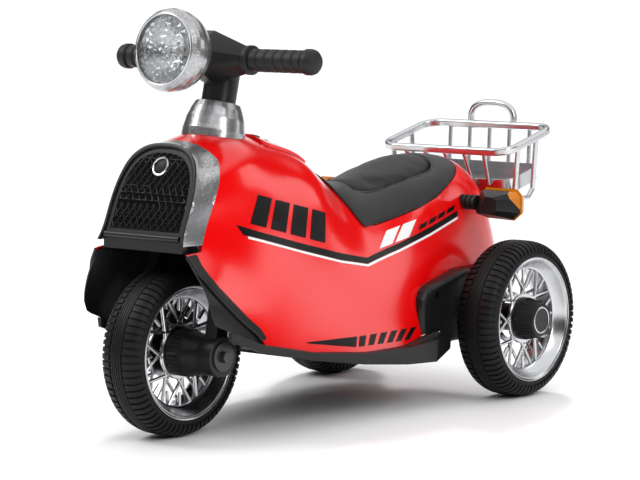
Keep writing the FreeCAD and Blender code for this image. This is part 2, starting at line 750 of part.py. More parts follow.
def head_bushes():
    low = BODY_TOP * WELL_ROOF_SHARE + HEAD_FLANGE * 2
    high = top_at(SKIN, steer_at(BODY_TOP).y) - BUSH_LENGTH - HEAD_RADIUS / 2
    bushes = []
    for height in (low, high):
        tube = Part.makeCylinder(HEAD_BORE - PRESS_GAP, BUSH_LENGTH)
        tube = tube.cut(Part.makeCylinder(COLUMN_RADIUS + RUNNING_GAP, BUSH_LENGTH))
        bushes.append(on_steer(tube, height))
    return Part.makeCompound(bushes)


def steering_collar():
    outline = []
    for height, swell in zip(COLLAR_HEIGHT_SHARES, COLLAR_SWELL_SHARES):
        radius = COLLAR_TOP_RADIUS + (COLLAR_BASE_RADIUS - COLLAR_TOP_RADIUS) * swell
        outline.append((radius, (BODY_TOP * height - STEER_POINT.z) / STEER_AXIS.z))
    outline += [(COLLAR_BORE, outline[-1][1]), (COLLAR_BORE, outline[0][1])]
    collar = on_steer(lathe(outline), STEER_POINT.z)
    return single(collar.cut(OUTER_GROWN))


def dash_panel():
    front = BASE_Y + BASE_LENGTH * PANEL_FRONT_SHARE
    back = BASE_Y + BASE_LENGTH * PANEL_BACK_SHARE
    half = PANEL_HALF_WIDTH
    block = box((-half, half), (front, back), (BODY_TOP / 2, BODY_TOP * 2))
    block = block.makeFillet(PANEL_CORNER, upright_edges(block))
    return single(body_solid(PANEL_HEIGHT).common(block).cut(OUTER_GROWN))


RAISED = body_solid(PANEL_HEIGHT)


def panel_frame(share):
    """Point on the panel's top and the panel's backward slope there, in degrees."""
    y = BASE_Y + BASE_LENGTH * share
    step = POWER_RADIUS
    ahead = top_at(RAISED, y - step)
    behind = top_at(RAISED, y + step)
    return V(0, y, top_at(RAISED, y)), math.degrees(math.atan2(behind - ahead, step * 2))


def panel_button(share, radius):
    """Button and the hole it moves in."""
    point, slope = panel_frame(share)
    button = Part.makeCylinder(radius, BUTTON_PROUD + BUTTON_SUNK, V(0, 0, -BUTTON_SUNK))
    button = button.makeFillet(BUTTON_PROUD / 3, [button.Edges[0]])
    hole = Part.makeCylinder(radius + GAP, PANEL_HEIGHT * 4, V(0, 0, -PANEL_HEIGHT * 2))
    return pitched(button, point, slope), pitched(hole, point, slope)


def direction_switch():
    """Rocker on its cross pin, and the slot it tips in."""
    point, slope = panel_frame(SWITCH_PLACE_SHARE)
    x = SWITCH_WIDTH / 2
    y = SWITCH_LENGTH / 2
    z = SWITCH_THICKNESS / 2
    rocker = box((-x, x), (-y, y), (-z, z))
    rocker = rocker.cut(Part.makeCylinder(y * 4, x * 4, V(-x * 2, 0, y * 4 + z / 3), X_AXIS))
    pin_z = SWITCH_PIN_RADIUS - z
    end = x + SWITCH_PIN_LENGTH
    rocker = rocker.fuse(cross_rod(SWITCH_PIN_RADIUS, -end, end, 0, pin_z))
    reach = PANEL_HEIGHT * 2
    slot = box((-x - GAP, x + GAP), (-y - SWITCH_END_GAP, y + SWITCH_END_GAP), (-reach, reach))
    slot = slot.fuse(cross_rod(SWITCH_PIN_RADIUS + RUNNING_GAP, -end - GAP, end + GAP, 0, pin_z))
    return pitched(rocker, point, slope), pitched(slot, point, slope)


def seat_saddle():
    block = OUTER.common(wide_prism(seat_zone(GAP)))
    hollow = body_solid(-SADDLE_THICKNESS, 0, False, -SADDLE_THICKNESS)
    return single(block.cut(hollow).cut(cushion_pocket()))


def cushion_rows(grow):
    """Place, half-width, foot, edge and crown height of each cushion section."""
    rows = []
    middle = (CUSHION_PLACE_SHARES[0] + CUSHION_PLACE_SHARES[-1]) / 2
    for share, width, rise in zip(CUSHION_PLACE_SHARES, CUSHION_WIDTH_SHARES, CUSHION_CROWN_SHARES):
        y = BASE_Y + BASE_LENGTH * share
        half = CUSHION_HALF_WIDTH * width
        edge = top_at(OUTER, y, half - CUSHION_DRAW_IN) - CUSHION_EDGE
        crown = top_at(OUTER, y) + CUSHION_CROWN * rise
        rows.append((y + math.copysign(grow, share - middle), half + grow, edge - CUSHION_SINK, edge, crown))
    return rows


def seat_cushion():
    """Padded block: flat foot, sides drawn in above and below, arched top."""
    wires = []
    for y, half, foot, edge, crown in cushion_rows(0):
        narrow = half - CUSHION_DRAW_IN
        arch = Part.Arc(V(narrow, y, edge), V(0, y, crown), V(-narrow, y, edge)).toShape()
        lines = [V(-narrow, y, edge), V(-half, y, (edge + foot) / 2), V(-narrow, y, foot)]
        lines += [V(-p.x, y, p.z) for p in lines[::-1]]
        edges = [Part.makeLine(p, q) for p, q in zip(lines, lines[1:])]
        wires.append(Part.Wire([arch] + edges))
    return single(Part.makeLoft(wires, True, True))


def cushion_pocket():
    """Open pocket that the cushion sits in."""
    wires = []
    for y, half, foot, edge, crown in cushion_rows(GAP):
        low = foot - GAP
        high = crown + SADDLE_THICKNESS
        corners = [V(-half, y, low), V(half, y, low), V(half, y, high), V(-half, y, high)]
        wires.append(Part.makePolygon(corners + corners[:1]))
    return Part.makeLoft(wires, True, True)


def underbody_pan():
    lips = []
    floor = []
    for i, (at, inner, outer, top, foot) in enumerate(PAN_SHARES):
        y = BASE_Y + BASE_LENGTH * at
        x_in = BODY_HALF_WIDTH * inner
        x_out = BODY_HALF_WIDTH * outer
        high = BODY_TOP * top
        low = BODY_TOP * foot
        corners = [V(x_in, y, high), V(x_out, y, high - PAN_LAP), V(x_out - PAN_LAP, y, low), V(x_in, y, low)]
        lips.append(Part.makePolygon(corners + corners[:1]))
        if i >= PAN_FLOOR_FIRST:
            wide = x_in + PAN_LAP
            top = low + PAN_FLOOR
            corners = [V(-wide, y, low), V(wide, y, low), V(wide, y, top), V(-wide, y, top)]
            floor.append(Part.makePolygon(corners + corners[:1]))
    lip = Part.makeLoft(lips, True, True)
    pan = fused([lip, mirrored(lip), Part.makeLoft(floor, True, True)])
    pan = pan.cut(body_solid(GAP, GAP))
    clear = (PEDAL_WELL[0], PEDAL_WELL[1], (PEDAL_BASE_Z, PEDAL_WELL_TOP))
    pan = single(pan.cut(box(*clear)))
    return single(fused([pan] + pedal_well()).cut(pedal_pin_hole()))


def pedal_well():
    """Floor, back wall and hinge ears for the pedal, part of the pan."""
    x_in = -(PEDAL_INNER_X - PEDAL_ROOM) - GAP
    y = (PEDAL_WELL[1][0] + GAP, PEDAL_WELL[1][1] - GAP)
    low = PEDAL_BASE_Z - PAN_FLOOR
    floor = box((-PEDAL_OUTER_X, x_in), y, (low, PEDAL_BASE_Z))
    wall = box((x_in - LINER_WALL, x_in), y, (low, PEDAL_WELL_TOP - GAP))
    r = PEDAL_EAR_RADIUS
    ears = []
    for x in (-PEDAL_INNER_X, -PEDAL_OUTER_X - PEDAL_EAR):
        top = Part.makeCylinder(r, PEDAL_EAR, V(x, PEDAL_PIN_Y, PEDAL_PIN_Z), X_AXIS)
        stem = box((x, x + PEDAL_EAR), (PEDAL_PIN_Y - r, PEDAL_PIN_Y + r), (low, PEDAL_PIN_Z))
        ears.append(top.fuse(stem))
    return [floor, wall] + ears


def pedal_pin_hole():
    reach = PEDAL_OUTER_X - PEDAL_INNER_X + PEDAL_EAR * 2
    start = V(-PEDAL_OUTER_X - PEDAL_EAR, PEDAL_PIN_Y, PEDAL_PIN_Z)
    return Part.makeCylinder(PEDAL_PIN_RADIUS + RUNNING_GAP, reach, start, X_AXIS)


def foot_pedal():
    """Plate that tips about its heel, with moulded pins."""
    pin = V(0, PEDAL_PIN_Y, PEDAL_PIN_Z)
    half = PEDAL_THICKNESS / 2
    x = (-PEDAL_OUTER_X + GAP, -PEDAL_INNER_X - GAP)
    toe = PEDAL_FRONT_Y - PEDAL_PIN_Y
    plate = box(x, (toe, 0), (-half, half))
    heel = Part.makeCylinder(half, x[1] - x[0], V(x[0], 0, 0), X_AXIS)
    pins = cross_rod(PEDAL_PIN_RADIUS, x[0] - PEDAL_PIN_LENGTH, x[1] + PEDAL_PIN_LENGTH, 0, 0)
    pedal = fused([plate, heel, pins])
    return pitched(pedal, pin, -PEDAL_TILT)


def on_floor(shape, share):
    """Shape built on z = 0, set on the sloping pan floor."""
    y = BASE_Y + BASE_LENGTH * share
    low, slope = floor_at(y)
    return pitched(shape, V(0, y, low), slope)


def floor_at(y):
    """Height of the pan floor's top at y and its slope in degrees."""
    rows = [(BASE_Y + BASE_LENGTH * r[0], BODY_TOP * r[4] + PAN_FLOOR) for r in PAN_SHARES]
    for (y0, z0), (y1, z1) in zip(rows, rows[1:]):
        if y0 <= y <= y1:
            return z0 + (z1 - z0) * (y - y0) / (y1 - y0), math.degrees(math.atan2(z1 - z0, y1 - y0))
    return rows[-1][1], 0


def battery():
    x = BATTERY_WIDTH / 2
    y = BATTERY_LENGTH / 2
    case = box((-x, x), (-y, y), (SEAM_GAP, BATTERY_HEIGHT))
    return on_floor(case.makeFillet(WALL, upright_edges(case)), BATTERY_PLACE_SHARE)


def control_board():
    x = BOARD_WIDTH / 2
    y = BOARD_LENGTH / 2
    base = BATTERY_HEIGHT + SEAM_GAP
    top = base + BOARD_THICKNESS
    board = [box((-x, x), (-y, y), (base, top))]
    for side in (-1, 1):
        chip = (side * x / 2 - CHIP_HEIGHT / 2, side * x / 2 + CHIP_HEIGHT / 2)
        board.append(box(chip, (-y / 2, y / 2), (top, top + CHIP_HEIGHT)))
    return on_floor(fused(board), BATTERY_PLACE_SHARE)


def speaker():
    height = BODY_TOP * SPEAKER_HEIGHT_SHARE
    rim = nose_disc(SPEAKER_RADIUS, height, GRILLE_THICKNESS + SEAM_GAP, SPEAKER_DEPTH / 3)
    magnet = nose_disc(SPEAKER_RADIUS / 2, height, GRILLE_THICKNESS + SEAM_GAP, SPEAKER_DEPTH)
    return single(rim.fuse(magnet))


def charge_socket():
    centre = place(SOCKET_PLACE_SHARES)
    mouth = side_at(OUTER, centre.y, centre.z) + SOCKET_FLANGE
    start = V(-mouth, centre.y, centre.z)
    flange = Part.makeCylinder(SOCKET_FLANGE_RADIUS, SOCKET_STEM, start, X_AXIS).cut(OUTER_GROWN)
    stem = Part.makeCylinder(SOCKET_STEM_RADIUS, SOCKET_STEM, start, X_AXIS)
    socket = single(single(flange).fuse(stem))
    return single(socket.cut(Part.makeCylinder(SOCKET_BORE_RADIUS, SOCKET_BORE_DEPTH, start, X_AXIS)))


def rear_axle():
    half = REAR_WHEEL_X + REAR_BORE_REACH - WALL
    return Part.makeCylinder(REAR_AXLE_RADIUS, half * 2, V(-half, REAR_AXLE_Y, AXLE_Z), X_AXIS)


def axle_cover():
    """Left cover over the axle end."""
    outline = side_points(AXLE_COVER_SHARES)
    block = prism(outline, COVER_ROOT_X, COVER_X)
    front = [e for e in block.Edges if e.BoundBox.XMin > COVER_X - GAP]
    block = block.makeFillet(COVER_ROUND, front)
    block = block.cut(prism(shrunk(outline, COVER_ROUND / 2), 0, COVER_X - COVER_WALL))
    panel = shrunk(outline, COVER_WALL * 4)
    block = block.cut(prism(panel, COVER_X - COVER_PANEL_DEPTH, CUT_REACH))
    screw = place(COVER_SCREW_SHARES)
    post_end = COVER_X - COVER_WALL / 2
    post = cross_rod(COVER_SCREW_RADIUS + COVER_WALL / 2, COVER_ROOT_X, post_end, screw.y, screw.z)
    block = block.fuse(post)
    block = block.cut(cross_rod(COVER_SCREW_RADIUS, COVER_X - COVER_WALL * 2, COVER_X, screw.y, screw.z))
    end = PAN_SHARES[-1]
    notch_y = BASE_Y + BASE_LENGTH * end[0] + GAP
    block = block.cut(box((0, CUT_REACH), (-CUT_REACH, notch_y), (0, BODY_TOP * end[3] + GAP)))
    return single(block.cut(OUTER_GROWN))


def cover_hole(radius):
    return Part.makeCylinder(radius, CUT_REACH, V(0, REAR_AXLE_Y, AXLE_Z), X_AXIS)


def drive_motor():
    start = V(-MOTOR_FACE_X, MOTOR_Y, MOTOR_Z)
    case = Part.makeCylinder(MOTOR_RADIUS, MOTOR_LENGTH, start, X_AXIS)
    nose = Part.makeCylinder(MOTOR_NOSE_RADIUS, REAR_WHEEL_X, V(-REAR_WHEEL_X, MOTOR_Y, MOTOR_Z), X_AXIS)
    nose = nose.common(box((-REAR_WHEEL_X, -MOTOR_FACE_X), (-CUT_REACH, CUT_REACH), (0, CUT_REACH)))
    motor = single(case.fuse(nose).common(SKIN))
    shaft = cross_rod(MOTOR_SHAFT_RADIUS + RUNNING_GAP, -REAR_WHEEL_X, 0, MOTOR_Y, MOTOR_Z)
    deep = box((-REAR_WHEEL_X, -MOTOR_FACE_X + MOTOR_RADIUS), (-CUT_REACH, CUT_REACH), (0, CUT_REACH))
    return single(motor.cut(shaft.common(deep)))


def tooth_points(teeth, turn):
    """Closed involute outline with one tooth centred on the turn angle, in degrees."""
    pitch = GEAR_MODULE * teeth / 2
    base = pitch * math.cos(math.radians(PRESSURE_ANGLE))
    tip = pitch + GEAR_MODULE * ADDENDUM_SHARE
    root = pitch - GEAR_MODULE * DEDENDUM_SHARE
    press = math.radians(PRESSURE_ANGLE)
    half = math.pi / teeth / 2 - BACKLASH / pitch / 4 + math.tan(press) - press
    start = max(base, root)
    flank = []
    steps = 5
    for i in range(steps + 1):
        radius = start + (tip - start) * i / steps
        roll = math.acos(base / radius)
        flank.append((radius, half - math.tan(roll) + roll))
    if root < base:
        flank.insert(0, (root, flank[0][1]))
    points = []
    for tooth in range(teeth):
        middle = math.radians(turn) + 2 * math.pi * tooth / teeth
        ring = [(r, middle - a) for r, a in flank] + [(r, middle + a) for r, a in flank[::-1]]
        points += [(r * math.cos(a), r * math.sin(a)) for r, a in ring]
    return points


def gear_block(teeth, turn, bore, centre_y, centre_z):
    """Spur gear beside the right wheel, turned by an angle measured from +Y towards +Z."""
    points = [V(-GEAR_INNER_X, centre_y + a, centre_z + b) for a, b in tooth_points(teeth, turn)]
    gear = face_of(points).extrude(V(-GEAR_WIDTH, 0, 0))
    if bore:
        gear = gear.cut(Part.makeCylinder(bore, GEAR_WIDTH, V(-GEAR_INNER_X, centre_y, centre_z), -X_AXIS))
    return gear


def drive_gear():
    gear = gear_block(GEAR_TEETH, MOTOR_ANGLE, REAR_AXLE_RADIUS + RUNNING_GAP, REAR_AXLE_Y, AXLE_Z)
    start = V(-GEAR_INNER_X - GEAR_WIDTH, REAR_AXLE_Y, AXLE_Z)
    length = COVER_X + GAP + GEAR_SLEEVE_SEAT - GEAR_INNER_X - GEAR_WIDTH
    sleeve = Part.makeCylinder(GEAR_SLEEVE_RADIUS, length, start, -X_AXIS)
    sleeve = sleeve.cut(Part.makeCylinder(REAR_AXLE_RADIUS + RUNNING_GAP, length, start, -X_AXIS))
    return single(gear.fuse(sleeve))


def motor_pinion():
    turn = MOTOR_ANGLE + 180 + 180 / PINION_TEETH
    gear = gear_block(PINION_TEETH, turn, 0, MOTOR_Y, MOTOR_Z)
    inner = MOTOR_FACE_X - MOTOR_RADIUS + GAP
    shaft = cross_rod(MOTOR_SHAFT_RADIUS, -GEAR_INNER_X, -inner, MOTOR_Y, MOTOR_Z)
    return single(gear.fuse(shaft))


def indicator_wire(table):
    """Outline of the left pod at its place along Y."""
    centre = place(INDICATOR_PLACE_SHARES)
    span = INDICATOR_REACH - INDICATOR_ROOT_X
    y = centre.y + INDICATOR_HALF_DEPTH * table[0]
    corners = [V(INDICATOR_ROOT_X + span * a, y, centre.z + INDICATOR_HALF_HEIGHT * b) for a, b in table[1]]
    return Part.makePolygon(corners + corners[:1])


def indicator():
    """Left stalk, housing and lens."""
    centre = place(INDICATOR_PLACE_SHARES)
    pod_wires = [indicator_wire(INDICATOR_FRONT_SHARES), indicator_wire(INDICATOR_BACK_SHARES)]
    lens_wires = [indicator_wire(INDICATOR_LENS_FRONT_SHARES), indicator_wire(INDICATOR_LENS_BACK_SHARES)]
    housing = Part.makeLoft(pod_wires, True, True)
    lens = Part.makeLoft(lens_wires, True, True)
    root = side_at(OUTER, centre.y, centre.z)
    outline = [(0, INDICATOR_ROOT_X - SEAM_GAP)]
    outline.append((STALK_RADIUS, INDICATOR_ROOT_X - SEAM_GAP))
    step = (INDICATOR_ROOT_X - root) / STALK_RIBS
    for i in range(STALK_RIBS):
        x = INDICATOR_ROOT_X - SEAM_GAP - step * i
        outline += [(STALK_RADIUS, x - step / 2), (STALK_RADIUS - STALK_RIB, x - step / 2)]
        outline += [(STALK_RADIUS - STALK_RIB, x - step), (STALK_RADIUS, x - step)]
    outline += [(STALK_RADIUS, root - STALK_RADIUS), (0, root - STALK_RADIUS)]
    stalk = turned(lathe(outline), V(0, centre.y, centre.z), X_AXIS)
    stalk = single(stalk.cut(OUTER_GROWN))
    return stalk, housing, lens


BASKET_FRONT = place(BASKET_FRONT_SHARES)
BASKET_BACK = place(BASKET_BACK_SHARES)
BASKET_LENGTH = (BASKET_BACK - BASKET_FRONT).Length
BASKET_TILT = math.degrees(math.atan2(BASKET_BACK.z - BASKET_FRONT.z, BASKET_BACK.y - BASKET_FRONT.y))


def rounded_block(half_width, length, low, high, corner):
    """Block with rounded upright corners, its front face on y = 0."""
    block = box((-half_width, half_width), (0, length), (low, high))
    return block.makeFillet(corner, upright_edges(block))


def basket_rim():
    h = BASKET_TUBE_HEIGHT / 2
    w = BASKET_TUBE_WIDTH
    outer = rounded_block(BASKET_HALF_WIDTH, BASKET_LENGTH, -h, h, BASKET_CORNER)
    inner = rounded_block(BASKET_HALF_WIDTH - w, BASKET_LENGTH - w * 2, -h * 2, h * 2, BASKET_CORNER - w)
    inner.translate(V(0, w, 0))
    ring = outer.cut(inner)
    corners = [e for e in ring.Edges if abs(abs(e.CenterOfMass.z) - h) < SEAM_GAP]
    ring = ring.makeFillet(BASKET_TUBE_ROUND, corners)
    return single(pitched(ring, BASKET_FRONT, BASKET_TILT))


TRAY_FRONT = place(TRAY_FRONT_SHARES)


def basket_tray():
    outer = rounded_block(TRAY_HALF_WIDTH, TRAY_LENGTH, -TRAY_HEIGHT, 0, TRAY_CORNER)
    w = TRAY_WALL
    half = TRAY_HALF_WIDTH - w
    inner = rounded_block(half, TRAY_LENGTH - w * 2, -TRAY_HEIGHT + w, TRAY_HEIGHT, TRAY_CORNER - w)
    inner.translate(V(0, w, 0))
    return single(pitched(outer.cut(inner), TRAY_FRONT, BASKET_TILT))


def basket_point(x, along, drop):
    """Point at a share of the basket's length, below the rim's middle plane by drop."""
    middle = BASKET_FRONT + (BASKET_BACK - BASKET_FRONT) * along
    return V(x, middle.y, middle.z - drop)


def tray_point(x, along, drop):
    turn = math.radians(BASKET_TILT)
    run = TRAY_LENGTH * along
    return V(x, TRAY_FRONT.y + run * math.cos(turn), TRAY_FRONT.z + run * math.sin(turn) - drop)


def basket_bars(rim, tray):
    bars = []
    inset = BASKET_TUBE_WIDTH / 2 / BASKET_LENGTH
    for share in BAR_SPREAD_SHARES:
        x = BASKET_HALF_WIDTH * share
        high = basket_point(x, 1 - inset, 0)
        low = tray_point(x, 1, TRAY_HEIGHT - BAR_ROD_RADIUS)
        bars.append(rod(high, low, BAR_ROD_RADIUS))
        high = basket_point(x, inset, 0)
        low = tray_point(x * TRAY_HALF_WIDTH / BASKET_HALF_WIDTH, 0, BAR_ROD_RADIUS * 2)
        bars.append(rod(high, low, BAR_ROD_RADIUS))
    bars += [side_loop(), mirrored(side_loop())]
    return Part.makeCompound([single(b.cut(rim).cut(tray)) for b in bars])


def side_loop():
    """Rod that hangs from the rim's left side and turns up again."""
    x = BASKET_HALF_WIDTH - BASKET_TUBE_WIDTH / 2
    low_x = x - LOOP_ROD_RADIUS * 1.5
    near = basket_point(x, LOOP_PLACE_SHARES[0], 0)
    far = basket_point(x, LOOP_PLACE_SHARES[1], 0)
    foot = BASKET_FRONT.z - LOOP_DROP
    bend = LOOP_ROD_RADIUS * 3
    path = [
        near,
        V(low_x, near.y, foot + bend),
        V(low_x, near.y + bend, foot),
        V(low_x, far.y - bend, foot),
        V(low_x, far.y, foot + bend),
        far,
    ]
    pieces = [rod(p, q, LOOP_ROD_RADIUS) for p, q in zip(path, path[1:])]
    pieces += [Part.makeSphere(LOOP_ROD_RADIUS, p) for p in path[1:-1]]
    return fused(pieces)


def hoop_block(half, top):
    """Upright block with a round top, at the back end of the bike."""
    back = OVERALL_LENGTH / 2
    base = BASKET_BACK.z - BASKET_TUBE_HEIGHT / 2
    spring = top - half
    keep = box((-half, half), (back - HOOP_DEPTH, back), (base, top))
    arch = Part.makeCylinder(half, HOOP_DEPTH, V(0, back - HOOP_DEPTH, spring), Y_AXIS)
    if spring > base:
        arch = arch.fuse(box((-half, half), (back - HOOP_DEPTH, back), (base, spring)))
    return arch.common(keep).removeSplitter()


def basket_hoop(rim):
    top = BASKET_BACK.z + HOOP_RISE
    outer = hoop_block(HOOP_HALF_WIDTH, top)
    inner = hoop_block(HOOP_HALF_WIDTH - HOOP_BAND, top - HOOP_BAND)
    return single(outer.cut(inner).cut(rim))


def rack_bracket(tray, rim):
    turn = math.radians(BASKET_TILT)
    foot = tray_point(0, 0, TRAY_HEIGHT / math.cos(turn))
    far = tray_point(0, BRACKET_REACH_SHARE, TRAY_HEIGHT / math.cos(turn))
    outline = [foot + V(0, -BRACKET_NECK, BRACKET_NECK / 2), foot, far, far - V(0, 0, BRACKET_TIP)]
    outline += [foot + V(0, -BRACKET_NECK, -BRACKET_DROP)]
    block = prism(outline, -BRACKET_HALF_WIDTH, BRACKET_HALF_WIDTH)
    tab_foot = foot + V(0, -BRACKET_NECK, 0)
    tab_top = basket_point(0, BASKET_TUBE_WIDTH / 2 / BASKET_LENGTH, 0)
    t = V(0, TAB_THICKNESS, 0)
    tab = prism([tab_foot, tab_foot + t, tab_top + t / 2, tab_top - t / 2], -TAB_HALF_WIDTH, TAB_HALF_WIDTH)
    bracket = block.fuse(tab).cut(OUTER_GROWN).cut(tray).cut(rim)
    return single(bracket.cut(wide_prism(seat_zone(0)).common(body_solid(GAP * 2))))


# Steering assembly

BAR_PLACE = place(BAR_PLACE_SHARES)
LIGHT_PLACE = place(LIGHT_PLACE_SHARES)


def on_light(shape):
    """Shape turned about Z as depth, set behind the headlight's front."""
    return pitched(shape, LIGHT_PLACE, -90 - LIGHT_TILT)


def light_pairs(table):
    return [(LIGHT_RADIUS * r, LIGHT_DEPTH * d) for d, r in table]


def headlight_shell():
    seat = LIGHT_DEPTH * LENS_SEAT_SHARE
    outline = light_pairs(LIGHT_OUTLINE_SHARES) + light_pairs(LIGHT_INSIDE_SHARES)
    ledge = LIGHT_RADIUS * LENS_SEAT_RADIUS_SHARE
    outline += [(ledge, outline[-1][1]), (ledge, seat), (LENS_RADIUS + GAP, seat), (LENS_RADIUS + GAP, 0)]
    return single(on_light(lathe(outline)))


def headlight_block():
    """Headlight outline without its hollow."""
    outline = light_pairs(LIGHT_OUTLINE_SHARES)
    return on_light(lathe(outline + [(0, 0)]))


def headlight_lens():
    seat = LIGHT_DEPTH * LENS_SEAT_SHARE - SEAM_GAP
    radius = LENS_RADIUS
    front = []
    steps = 6
    for i in range(steps + 1):
        r = radius * i / steps
        front.append((r, seat - LENS_THICKNESS - LENS_SWELL * (1 - (r / radius) ** 2)))
    back = [(r, d + LENS_THICKNESS) for r, d in front[::-1]]
    return single(on_light(lathe(front + back)))


def headlight_reflector():
    pairs = light_pairs(REFLECTOR_SHARES)
    outer = [(r, d + REFLECTOR_WALL) for r, d in pairs[::-1]]
    return single(on_light(lathe(pairs + outer)))


def headlight_lamp():
    r, d = light_pairs(REFLECTOR_SHARES)[-1]
    radius = r - GAP
    stem = Part.makeCylinder(radius, LAMP_LENGTH, V(0, 0, d - LAMP_LENGTH / 2))
    seat = V(0, 0, d + REFLECTOR_WALL + SEAM_GAP)
    collar = Part.makeCylinder(radius + REFLECTOR_WALL * 2, REFLECTOR_WALL * 2, seat)
    bulb = Part.makeSphere(radius, V(0, 0, d - LAMP_LENGTH / 2))
    return single(on_light(fused([stem, collar, bulb])))


def handlebar_cover():
    wires = []
    for along, swell in COVER_SECTION_SHARES:
        y = BAR_PLACE.y - COVER_MID_AHEAD * swell
        z = BAR_PLACE.z + COVER_MID_RISE * swell
        half_y = COVER_END_RADIUS + (COVER_MID_DEPTH - COVER_END_RADIUS) * swell
        half_z = COVER_END_RADIUS + (COVER_MID_HEIGHT - COVER_END_RADIUS) * swell
        x = COVER_HALF_WIDTH * along
        corners = [V(x, y + half_y * a, z + half_z * b) for a, b in COVER_CORNER_SHARES]
        wires.append(Part.makePolygon(corners + corners[:1]))
    cover = Part.makeLoft(wires, True, True)
    neck = steer_rod(SLEEVE_RADIUS, BODY_TOP * SLEEVE_FOOT_SHARE + SLEEVE_LENGTH, BAR_PLACE.z)
    cover = cover.fuse(neck)
    cover = cover.cut(headlight_block())
    sleeve_top = BODY_TOP * SLEEVE_FOOT_SHARE + SLEEVE_LENGTH
    cover = cover.cut(steer_rod(SLEEVE_RADIUS + SEAM_GAP, 0, sleeve_top))
    bar = cross_rod(BAR_RADIUS + PRESS_GAP, -CUT_REACH, CUT_REACH, BAR_PLACE.y, BAR_PLACE.z)
    cover = cover.cut(bar)
    return single(cover.cut(steer_rod(COLUMN_RADIUS + PRESS_GAP, 0, BODY_TOP * COLUMN_TOP_SHARE + GAP)))


def steering_column():
    low = BODY_TOP * CROWN_HEIGHT_SHARE - CROWN_HEIGHT / 2
    tube = steer_rod(COLUMN_RADIUS, low, BODY_TOP * COLUMN_TOP_SHARE)
    return tube.cut(steer_rod(COLUMN_BORE, 0, BODY_TOP * COLUMN_TOP_SHARE))


def column_sleeve():
    low = BODY_TOP * SLEEVE_FOOT_SHARE
    tube = steer_rod(SLEEVE_RADIUS, low, low + SLEEVE_LENGTH - SEAM_GAP)
    return tube.cut(steer_rod(COLUMN_RADIUS + PRESS_GAP, low - SLEEVE_LENGTH, BODY_TOP * 2))


def front_fork():
    height = BODY_TOP * CROWN_HEIGHT_SHARE
    x = CROWN_HALF_WIDTH
    y = CROWN_DEPTH / 2
    z = CROWN_HEIGHT / 2
    crown = box((-x, x), (-y, y), (-z, z))
    crown = on_steer(crown.makeFillet(y / 2, upright_edges(crown)), height)
    middle = steer_at(height)
    half = LEG_TOP_DEPTH / 2
    top = [V(x - LEG_THICKNESS, middle.y - half, height), V(x, middle.y - half, height)]
    top += [V(x, middle.y + half, height), V(x - LEG_THICKNESS, middle.y + half, height)]
    half = LEG_FOOT_DEPTH / 2
    outer = BOSS_OUTER_X - (BOSS_OUTER_X - BOSS_INNER_X - LEG_FOOT_THICKNESS) / 2
    inner = outer - LEG_FOOT_THICKNESS
    low = AXLE_Z + BOSS_RADIUS * LEG_FOOT_SHARE
    foot = [V(inner, FRONT_AXLE_Y - half, low), V(outer, FRONT_AXLE_Y - half, low)]
    foot += [V(outer, FRONT_AXLE_Y + half, low), V(inner, FRONT_AXLE_Y + half, low)]
    leg = Part.makeLoft([Part.makePolygon(w + w[:1]) for w in (top, foot)], True, True)
    boss = cross_rod(BOSS_RADIUS, BOSS_INNER_X, BOSS_OUTER_X, FRONT_AXLE_Y, AXLE_Z)
    side = leg.fuse(boss)
    fork = fused([crown, side, mirrored(side)])
    fork = fork.cut(cross_rod(FRONT_AXLE_RADIUS + PRESS_GAP, -CUT_REACH, CUT_REACH, FRONT_AXLE_Y, AXLE_Z))
    return single(fork.cut(steer_rod(COLUMN_RADIUS + PRESS_GAP, 0, BODY_TOP)))


def front_axle():
    """Axle rod with its washers and nuts."""
    washer_x = BOSS_OUTER_X + SEAM_GAP
    nut_x = washer_x + WASHER_THICKNESS + SEAM_GAP
    end = nut_x + NUT_THICKNESS
    solids = [Part.makeCylinder(FRONT_AXLE_RADIUS, end * 2, V(-end, FRONT_AXLE_Y, AXLE_Z), X_AXIS)]
    hole = Part.makeCylinder(FRONT_AXLE_RADIUS + PRESS_GAP, CUT_REACH, V(0, FRONT_AXLE_Y, AXLE_Z), X_AXIS)
    washer = cross_rod(WASHER_RADIUS, washer_x, washer_x + WASHER_THICKNESS, FRONT_AXLE_Y, AXLE_Z).cut(hole)
    corners = []
    for i in range(6):
        angle = math.radians(60 * i)
        across = V(0, math.cos(angle), math.sin(angle)) * NUT_RADIUS
        corners.append(V(nut_x, FRONT_AXLE_Y, AXLE_Z) + across)
    nut = face_of(corners).extrude(V(NUT_THICKNESS, 0, 0)).cut(hole)
    for piece in (washer, nut):
        solids += [single(piece), single(mirrored(piece))]
    return Part.makeCompound(solids)


def handlebar_tube():
    tube = cross_rod(BAR_RADIUS, -BAR_HALF_LENGTH, BAR_HALF_LENGTH, BAR_PLACE.y, BAR_PLACE.z)
    return tube.cut(cross_rod(BAR_BORE, -CUT_REACH, CUT_REACH, BAR_PLACE.y, BAR_PLACE.z))


